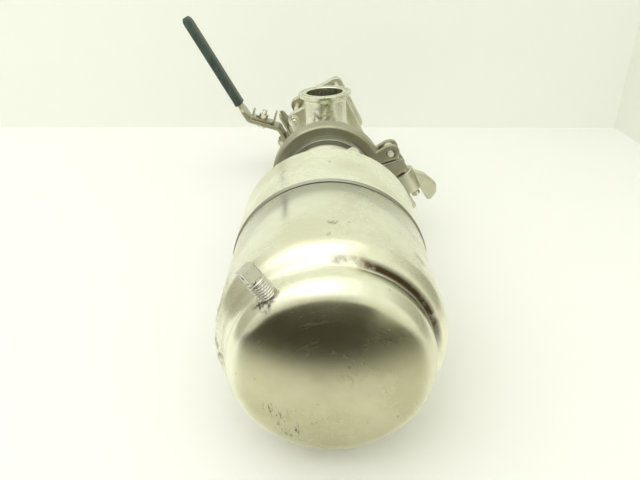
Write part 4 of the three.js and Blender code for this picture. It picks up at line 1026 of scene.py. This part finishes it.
def make_stop_plate():
    """A disc's sector with a square notch at each end of the lever's travel."""
    reach, notch, half, back = 34.0, 28.5, 5.4, 15.0
    gap = math.degrees(math.asin(half / reach))
    corner = math.degrees(math.asin(back / reach))

    def bow(a, b):
        t = np.radians(np.linspace(a, b, 24))
        return np.column_stack([reach * np.cos(t), reach * np.sin(t)])

    outline = np.vstack([[[-back, -back]], bow(-corner, -gap), [[notch, -half], [notch, half]],
                         bow(gap, 90 - gap), [[half, notch], [-half, notch]], bow(90 + gap, 90 + corner)])
    rows = plate(outline + np.array([0, BALL_Y]), 41.5, 44.0, 0.15, "Z", rim=0.1)
    piece = skin("stop_plate_notched", rows, BALL_CLOCK, caps=True)
    combine(piece, [rod("stem_hole", 10.4, 40, 46, "Z", (0, BALL_Y), BALL_CLOCK)], "DIFFERENCE")
    ready(piece, "valve", ["stop_plate"], finishes()["cast"], sharp=32)


def make_body_bolts():
    """Four turned bolts whose heads are hexagons and whose ends follow the screw's ripple, each with
    a nut and a turned washer."""
    look = finishes()
    low, head, top, screwed, across = 52.8, 138.3, 142.3, 67.0, 10.0
    nut_low, nut_high, bore = 55.4, 60.5, 2.9
    heights = np.concatenate([[low, low + 0.5], np.arange(low + 0.6, screwed - 1, 0.13), [screwed, head]])
    radii = np.where(heights < low + 0.3, 2.5, 3.0)
    rows = np.vstack([[0, low], np.column_stack([radii, heights]), [0, head]])
    cap = hex_rows(across, head, top, under=0.3)
    washer = rounded([(bore, nut_high), (6.0, nut_high, 0.3), (6.0, nut_high + 1.2, 0.3),
                      (bore, nut_high + 1.2)], 3, closed=True)
    for k, (sx, sz) in enumerate([(1, 1), (-1, 1), (-1, -1), (1, -1)]):
        at = (sx * BODY_BOLT, sz * BODY_BOLT)
        shank = skin(f"body_bolt_{k + 1}_long",
                     around(rows, "Y", at, 40, thread(1.0, 0.4, low - 1, screwed)), BALL_CLOCK)
        hexed = skin("cap", around(cap, "Y", at, 96, hexagon(across, head - 1.5, top)), BALL_CLOCK)
        combine(shank, [hexed], "UNION")
        ready(shank, "valve", [f"body_bolt_{k + 1}"], look["bright"], sharp=35)
        hexed = nut(f"body_nut_{k + 1}_hex", across, nut_low, nut_high, bore, "Y", at)
        combine(hexed, [skin("washer", around(washer, "Y", at, 64), BALL_CLOCK, loop=True)], "UNION")
        ready(hexed, "valve", [f"body_nut_{k + 1}"], look["bright"], sharp=32)


# ------------------------------------------------------------------ lever


BAR_Z = 52.0
SLOPE_X = 20.0 - 2.0 * math.tan(math.radians(22.5))
LEVER_END = (62.0, 78.1)
BAR_HALF = 11.0
GRIP_LEAN = math.radians(1.2)


def on_slope(points):
    """Points given as (up the slope, across, off its face) in the ball valve's own frame."""
    c = math.sqrt(0.5)
    s, y, m = points[..., 0], points[..., 1], points[..., 2]
    return np.stack([SLOPE_X + c * (s - m), y + BALL_Y, BAR_Z + c * (s + m)], -1)


def make_lever():
    """A flat bar carried along its bent line. Its half width rises as a quarter circle at the tail
    and falls evenly inside the grip."""
    path = spaced(rounded([(-13.0, BAR_Z), (SLOPE_X, BAR_Z, 4.5), (44.17, 77.0, 4.5), LEVER_END,
                           (75.0, 78.94)], 10), 0.8)
    run = run_length(path)
    corner, tang, side = 6.0, 78.0, 0.86
    near = np.clip(run, 0, corner)
    plan = BAR_HALF - corner + np.sqrt(np.maximum(corner**2 - (corner - near) ** 2, 0))
    plan = np.where(run > tang, BAR_HALF - 4.0 * np.clip((run - tang) / 6, 0, 1), plan)
    plan[0] = BAR_HALF - corner
    t = np.linspace(-1, 1, 13)
    top = np.column_stack([t, np.ones(13)])
    section = np.vstack([top[:-1], [[1.0, side], [1.0, -side]], -top[:-1], [[-1.0, -side], [-1.0, side]]])
    rows = strip(path, section, plan, np.full(len(path), 2.0), BALL_Y)
    piece = skin("lever_bar", rows, BALL_CLOCK, caps=True)
    bevel_edges(piece, 0.35)
    ready(piece, "lever", ["lever"], finishes()["lever"], sharp=40)


def make_grip():
    """A flattened superellipse carried along the grip: its sides are powers of the cosine and the
    sine. Its size falls off as a quarter ellipse at the tip and swells to a bead at the mouth."""
    size = bpy.context.scene.valve_size
    length, half, start, nose = size.grip_length / MM, size.grip_width / MM / 2, 1.5, 7.0
    tip = length - nose * (1 - np.sin(np.linspace(0, math.pi / 2, 16)[1:]))
    run = np.concatenate([np.linspace(0, 3, 10), np.linspace(3.6, length - nose - 1, 60), tip])
    past = np.clip((run - (length - nose)) / nose, 0, 1)
    fall = np.sqrt(np.maximum(1 - past**2, 0.0))
    mouth = np.exp(-((run - 1.6) / 1.3) ** 2)
    flare = np.interp(run, [0, 0.6, 1.2], [0.9, 0.98, 1.0])
    wide = (half - 4.5 * (1 - fall)) * flare
    deep = (4.7 * (0.25 + 0.75 * fall) + 0.3 * mouth) * flare
    a = TURN * np.arange(64) / 64
    section = np.column_stack([np.sign(np.cos(a)) * np.abs(np.cos(a)) ** 0.62,
                               np.sign(np.sin(a)) * np.abs(np.sin(a)) ** 0.8])
    x = LEVER_END[0] + (start + run) * math.cos(GRIP_LEAN)
    z = LEVER_END[1] + (start + run) * math.sin(GRIP_LEAN)
    rows = strip(np.column_stack([x, z]), section, wide, deep, BALL_Y)
    piece = skin("lever_grip_dipped", rows, BALL_CLOCK, caps=True)
    ready(piece, "lever", ["lever_grip"], finishes()["vinyl"], sharp=60)


def make_lock():
    """The lock is a strip carried along its bent line, with a slot for its bolt. The bolt and the
    nut are hexagons turned about a line off the slope, with a turned shank and washer."""
    look = finishes()
    path = spaced(rounded([(7.6, -16.9), (7.6, -3.4, 2.0), (32.4, -3.4, 2.0), (32.4, -11.8)], 8), 0.7)
    half = np.interp(run_length(path), [0, 1.2, 11.5, 15.5, 37.0, 40.0, 45.5, 46.7],
                     [3.6, 4.3, 4.3, 7.0, 7.0, 6.0, 6.0, 4.6])
    t = np.linspace(1, -1, 9)
    section = np.vstack([np.column_stack([t, np.ones(9)]), np.column_stack([-t, -np.ones(9)])])
    rows = strip(path, section, half, np.full(len(path), 1.1))
    piece = skin("lock_plate_bent", on_slope(rows), BALL_CLOCK, caps=True)
    slot = plate(rectangle(6.1, 3.4, 3.3, 6) + np.array([23.0, 0.0]), -12, 5, 0.01, "Z")
    combine(piece, [skin("slot", on_slope(slot), BALL_CLOCK, caps=True)], "DIFFERENCE")
    bevel_edges(piece, 0.25)
    ready(piece, "lock", ["lock_plate"], look["lever"], sharp=40)
    at, face, top, end, bore, nut_low, nut_high = (20.5, 0), 2.3, 6.3, -14.6, 2.9, -9.8, -5.9
    cap = around(hex_rows(9.6, face, top, under=0.3), "Z", at, 96, hexagon(9.6, face - 1.5, top))
    piece = skin("lock_bolt_hex", on_slope(cap), BALL_CLOCK)
    heights = np.concatenate([np.linspace(end, 1.0, 110), [3.0]])
    rows = np.vstack([[0, end], np.column_stack([np.full(len(heights), 2.95), heights]), [0, 3.0]])
    shank = around(rows, "Z", at, 40, thread(1.0, 0.4, end - 1, 0))
    combine(piece, [skin("shank", on_slope(shank), BALL_CLOCK)], "UNION")
    ready(piece, "lever", ["lock_bolt"], look["bright"], sharp=35)
    rows = around(hex_rows(9.2, nut_low, nut_high, bore), "Z", at, 96, hexagon(9.2, nut_low, nut_high))
    piece = skin("lock_nut_hex", on_slope(rows), BALL_CLOCK, loop=True)
    disc = rounded([(bore, nut_high), (5.0, nut_high, 0.2), (5.0, -4.8, 0.2), (bore, -4.8)], 3, closed=True)
    washer = skin("washer", on_slope(around(disc, "Z", at, 64)), BALL_CLOCK, loop=True)
    combine(piece, [washer], "UNION")
    ready(piece, "lever", ["lock_nut"], look["bright"], sharp=32)


# ------------------------------------------------------------------ carried-over nodes


SLOT_FINISHES = {"satin_steel": "satin", "cast_steel": "cast", "dark_steel": "dark",
                 "bright_steel": "bright", "spring_steel": "dark", "polymer": "polymer",
                 "elastomer": "rubber", "vinyl": "vinyl"}


def dress_nodes():
    """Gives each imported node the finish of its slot."""
    for part in frame["record"]["subparts"]:
        mesh = frame["nodes"][part["node"]].data
        mesh.materials.clear()
        mesh.materials.append(finishes()[SLOT_FINISHES[part["material_slot"]]])


# ------------------------------------------------------------------ stage


ROLL = math.radians(3.3)
FLOOR_Z = -COLLAR_R - 0.2
WALL_Y = 282.0
SIDE_X = 424.0
FLOOR_HALF = 4000.0
FLOOR_FRONT = -3000.0
WALL_TOP = 2500.0


def rolled(x, y, z):
    """A point of the stage, in millimetres from the axes' crossing with the branch leaning left, in
    the row frame."""
    c, s = math.cos(ROLL), math.sin(ROLL)
    return Vector((AXIS_X + (x * c + z * s) * MM, BRANCH_Y + y * MM, AXIS_Z + (z * c - x * s) * MM))


def paper(name, colour, one_sided=False, glow=0.0):
    """Matt paper. A one-sided sheet is clear from behind, so that light comes in through it."""
    material = bpy.data.materials.new(name)
    material.use_nodes = True
    tree = material.node_tree
    shader = tree.nodes["Principled BSDF"]
    for socket, value in (("Base Color", (*colour, 1)), ("Roughness", 0.9), ("Specular IOR Level", 0.1),
                          ("Emission Color", (*colour, 1)), ("Emission Strength", glow)):
        shader.inputs[socket].default_value = value
    if one_sided:
        side = node(tree, "ShaderNodeNewGeometry").outputs["Backfacing"]
        clear = node(tree, "ShaderNodeBsdfTransparent")
        mix = node(tree, "ShaderNodeMixShader", {0: side, 1: shader.outputs[0], 2: clear.outputs[0]})
        tree.links.new(mix.outputs[0], tree.nodes["Material Output"].inputs["Surface"])
    return material


def stage_sheet(name, points, faces, material):
    """A flat or bent sheet of the stage, from points as rolled() takes them."""
    mesh = bpy.data.meshes.new(name)
    mesh.from_pydata([tuple(rolled(*point)) for point in points], [], faces)
    mesh.materials.append(material)
    sheet = bpy.data.objects.new(name, mesh)
    bpy.context.scene.collection.objects.link(sheet)
    return sheet


def card_material(name, colour, opacity):
    """Glows in one colour. Its opacity is a function of the place's outputs, and the rest is clear."""
    material = bpy.data.materials.new(name)
    material.use_nodes = True
    tree = material.node_tree
    tree.nodes.clear()
    output = node(tree, "ShaderNodeOutputMaterial")
    where = node(tree, "ShaderNodeNewGeometry").outputs["Position"]
    split = node(tree, "ShaderNodeSeparateXYZ", {"Vector": where}).outputs
    glow = node(tree, "ShaderNodeEmission", {"Color": (*colour, 1), "Strength": 1.0})
    clear = node(tree, "ShaderNodeBsdfTransparent")
    mix = node(tree, "ShaderNodeMixShader",
               {0: opacity(tree, split), 1: clear.outputs[0], 2: glow.outputs[0]})
    tree.links.new(mix.outputs[0], output.inputs["Surface"])
    return material


def reflect_only(card):
    """Hides a card from everything but reflections."""
    card.visible_camera = False
    card.visible_diffuse = False
    card.visible_shadow = False
    card.visible_transmission = False


def dark_card():
    """A dark sheet in front of the dome that only reflections see. It lies on the floor and then
    curves up, and its opacity grows with distance from the dome."""
    rows, columns, reach, bend = 48, 32, 900, 0.6
    t = np.linspace(0, 1, rows)
    y = -400 - reach * np.clip(t / bend, 0, 1)
    z = -59 + 260 * np.clip((t - bend) / (1 - bend), 0, 1)
    points = [(a, b, c) for b, c in zip(y, z) for a in np.linspace(-reach, reach, columns)]
    faces = [(i * columns + j, i * columns + j + 1, (i + 1) * columns + j + 1, (i + 1) * columns + j)
             for i in range(rows - 1) for j in range(columns - 1)]

    def opacity(tree, place):
        return ramp(tree, place["Y"], BRANCH_Y - 0.385, BRANCH_Y - 0.56)

    material = card_material("dark_card", (0.042, 0.036, 0.02), opacity)
    reflect_only(stage_sheet("dark_card", points, faces, material))


def grey_card(name, x):
    """A grey sheet beside the object that only reflections see; it darkens the cylinder's sides, and
    fades upwards and towards the outlet."""
    near, far, low, high = -420, 270, -50, 480

    def opacity(tree, place):
        return times(tree, ramp(tree, place["Z"], 0.5, 0.06),
                     ramp(tree, place["Y"], BRANCH_Y + 0.26, BRANCH_Y - 0.1))

    points = [(x, near, low), (x, far, low), (x, far, high), (x, near, high)]
    material = card_material(name, (0.46, 0.45, 0.35), opacity)
    reflect_only(stage_sheet(name, points, [(0, 1, 2, 3)], material))


def softbox(name, at, size, power):
    """A square light, aimed at the clamp."""
    data = bpy.data.lights.new(name, "AREA")
    data.shape = "RECTANGLE"
    data.size = data.size_y = size
    data.energy = power
    data.color = (1, 1, 0.97)
    light = bpy.data.objects.new(name, data)
    bpy.context.scene.collection.objects.link(light)
    light.location = rolled(*at)
    light.rotation_mode = "QUATERNION"
    light.rotation_quaternion = (rolled(0, -60, 0) - light.location).to_track_quat("-Z", "Y")


def make_stage():
    """A paper floor with a wall behind and one on the right, cards that only reflections see, a sky
    that brightens upwards, and two softboxes."""
    face = [(0, 1, 2, 3)]
    stage_sheet("floor", [(-FLOOR_HALF, FLOOR_FRONT, FLOOR_Z), (FLOOR_HALF, FLOOR_FRONT, FLOOR_Z),
                          (FLOOR_HALF, -FLOOR_FRONT, FLOOR_Z), (-FLOOR_HALF, -FLOOR_FRONT, FLOOR_Z)],
                face, paper("paper_floor", (0.92, 0.92, 0.9)))
    stage_sheet("wall", [(-FLOOR_HALF, WALL_Y, FLOOR_Z), (FLOOR_HALF, WALL_Y, FLOOR_Z),
                         (FLOOR_HALF, WALL_Y, WALL_TOP), (-FLOOR_HALF, WALL_Y, WALL_TOP)],
                face, paper("paper_wall", (0.84, 0.855, 0.80), one_sided=True, glow=0.10))
    stage_sheet("side_wall", [(SIDE_X, WALL_Y, FLOOR_Z), (SIDE_X, FLOOR_FRONT, FLOOR_Z),
                              (SIDE_X, FLOOR_FRONT, WALL_TOP), (SIDE_X, WALL_Y, WALL_TOP)],
                face, paper("paper_side", (0.82, 0.835, 0.77), one_sided=True, glow=0.06))
    dark_card()
    grey_card("left_grey", -380.0)
    grey_card("right_grey", 400.0)
    world = bpy.data.worlds.new("tent")
    world.use_nodes = True
    tree = world.node_tree
    way = node(tree, "ShaderNodeTexCoord").outputs["Generated"]
    height = node(tree, "ShaderNodeSeparateXYZ", {"Vector": way}).outputs["Z"]
    level, zenith = (0.62, 0.62, 0.51), (1.38, 1.38, 1.31)
    sky = blend_colour(tree, ramp(tree, height, 0.0, 0.9), level, zenith)
    tree.links.new(sky, tree.nodes["Background"].inputs["Color"])
    bpy.context.scene.world = world
    softbox("ceiling_softbox", (0, -100, 900), 2.0, 5.0)
    softbox("right_softbox", (900, -350, 450), 0.9, 1.0)
    bpy.context.scene.view_settings.view_transform = "Standard"


def make_camera():
    """The camera stands in front of the dome and above it, in the frame of the rolled stage."""
    pitch, swing = math.radians(27.264), math.radians(0.323)
    data = bpy.data.cameras.new("camera")
    data.sensor_width = 36.0
    data.lens = 32.68125
    camera = bpy.data.objects.new("camera", data)
    bpy.context.scene.collection.objects.link(camera)
    right = Vector((math.cos(swing), math.sin(swing), 0))
    level = Vector((-math.sin(swing), math.cos(swing), 0))
    ahead = level * math.cos(pitch) + Vector((0, 0, -math.sin(pitch)))
    up = right.cross(ahead)
    turn = Matrix.Rotation(ROLL, 3, "Y")
    axes = Matrix((turn @ right, turn @ up, turn @ -ahead)).transposed()
    camera.matrix_world = Matrix.Translation(rolled(-4.37, -555.7, 183.41)) @ axes.to_4x4()
    bpy.context.scene.camera = camera


# ------------------------------------------------------------------ add-on


class ValveFinish(bpy.types.PropertyGroup):
    satin: bpy.props.FloatVectorProperty(
        name="Satin steel", description="Spun and turned stainless steel", subtype="COLOR",
        default=(0.89, 0.89, 0.74), min=0.0, max=1.0)
    blasted: bpy.props.FloatVectorProperty(
        name="Blasted steel", description="Cast and blasted stainless steel", subtype="COLOR",
        default=(0.50, 0.485, 0.36), min=0.0, max=1.0)
    polished: bpy.props.FloatVectorProperty(
        name="Polished steel", description="Fasteners, stem and ball", subtype="COLOR",
        default=(0.84, 0.83, 0.74), min=0.0, max=1.0)
    dull: bpy.props.FloatVectorProperty(
        name="Dull steel", description="Springs, ring and cap screws", subtype="COLOR",
        default=(0.10, 0.09, 0.065), min=0.0, max=1.0)
    vinyl: bpy.props.FloatVectorProperty(
        name="Grip vinyl", description="Dipped coat on the lever", subtype="COLOR",
        default=(0.028, 0.046, 0.036), min=0.0, max=1.0)
    polymer: bpy.props.FloatVectorProperty(
        name="Fluoropolymer", description="Seats, seals and bushes", subtype="COLOR",
        default=(0.82, 0.81, 0.74), min=0.0, max=1.0)


class ValveSize(bpy.types.PropertyGroup):
    grip_length: bpy.props.FloatProperty(
        name="Grip length", description="Length of the lever's dipped grip", unit="LENGTH",
        default=0.106, min=0.06, max=0.2)
    grip_width: bpy.props.FloatProperty(
        name="Grip width", description="Width of the grip across the lever", unit="LENGTH",
        default=0.022, min=0.015, max=0.04)
    plug_flats: bpy.props.FloatProperty(
        name="Plug square", description="Width of the vent plug's square head", unit="LENGTH",
        default=0.0075, min=0.005, max=0.01)
    wing_thickness: bpy.props.FloatProperty(
        name="Wing thickness", description="Thickness of the wing nut's two wings", unit="LENGTH",
        default=0.0072, min=0.004, max=0.01)


class VALVE_OT_nodes(bpy.types.Operator):
    """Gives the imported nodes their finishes"""
    bl_idname = "valve.nodes"
    bl_label = "Dress packed nodes"

    def execute(self, context):
        dress_nodes()
        return {"FINISHED"}


class VALVE_OT_actuator(bpy.types.Operator):
    """Makes the spun shell, the base, the vent plug, the air fitting, the screws and the springs"""
    bl_idname = "valve.actuator"
    bl_label = "Build actuator"

    def execute(self, context):
        make_shell()
        make_base()
        make_vent_plug()
        make_air_fitting()
        make_mounting_screws()
        make_springs()
        return {"FINISHED"}


class VALVE_OT_body(bpy.types.Operator):
    """Makes the bonnet, the stem and the valve body"""
    bl_idname = "valve.body"
    bl_label = "Build valve body"

    def execute(self, context):
        make_bonnet()
        make_stem()
        make_body()
        return {"FINISHED"}


class VALVE_OT_clamp(bpy.types.Operator):
    """Makes the clamp halves, the pins, the swing bolt and the wing nut"""
    bl_idname = "valve.clamp"
    bl_label = "Build clamp"

    def execute(self, context):
        make_clamp()
        make_swing_bolt()
        make_wing_nut()
        return {"FINISHED"}


class VALVE_OT_ball_valve(bpy.types.Operator):
    """Makes the end caps, the centre body, the ball, its stem and the bolts"""
    bl_idname = "valve.ball_valve"
    bl_label = "Build ball valve"

    def execute(self, context):
        make_end_caps()
        make_centre_body()
        make_ball()
        make_ball_stem()
        make_stop_plate()
        make_body_bolts()
        return {"FINISHED"}


class VALVE_OT_lever(bpy.types.Operator):
    """Makes the bent lever, its dipped grip and the sliding lock"""
    bl_idname = "valve.lever"
    bl_label = "Build lever"

    def execute(self, context):
        make_lever()
        make_grip()
        make_lock()
        return {"FINISHED"}


class VALVE_OT_stage(bpy.types.Operator):
    """Makes the floor, the walls, the cards, the lights and the camera"""
    bl_idname = "valve.stage"
    bl_label = "Set stage"

    def execute(self, context):
        make_stage()
        make_camera()
        return {"FINISHED"}


OPERATORS = (VALVE_OT_nodes, VALVE_OT_actuator, VALVE_OT_body, VALVE_OT_clamp, VALVE_OT_ball_valve,
             VALVE_OT_lever, VALVE_OT_stage)


class VIEW3D_PT_valve(bpy.types.Panel):
    """Lists the valve's builders, sizes and colours"""
    bl_label = "Valve"
    bl_space_type = "VIEW_3D"
    bl_region_type = "UI"
    bl_category = "Valve"

    def draw(self, context):
        for made in OPERATORS:
            self.layout.operator(made.bl_idname)
        for name in ValveSize.__annotations__:
            self.layout.prop(context.scene.valve_size, name)
        for name in ValveFinish.__annotations__:
            self.layout.prop(context.scene.valve_finish, name)


CLASSES = (ValveSize, ValveFinish, *OPERATORS, VIEW3D_PT_valve)


def register():
    for made in CLASSES:
        bpy.utils.register_class(made)
    bpy.types.Scene.valve_size = bpy.props.PointerProperty(type=ValveSize)
    bpy.types.Scene.valve_finish = bpy.props.PointerProperty(type=ValveFinish)


def unregister():
    del bpy.types.Scene.valve_finish
    del bpy.types.Scene.valve_size
    for made in reversed(CLASSES):
        bpy.utils.unregister_class(made)


def main():
    register()
    bpy.ops.valve.nodes()
    bpy.ops.valve.actuator()
    bpy.ops.valve.body()
    bpy.ops.valve.clamp()
    bpy.ops.valve.ball_valve()
    bpy.ops.valve.lever()
    bpy.ops.valve.stage()


if __name__ == "__main__":
    main()
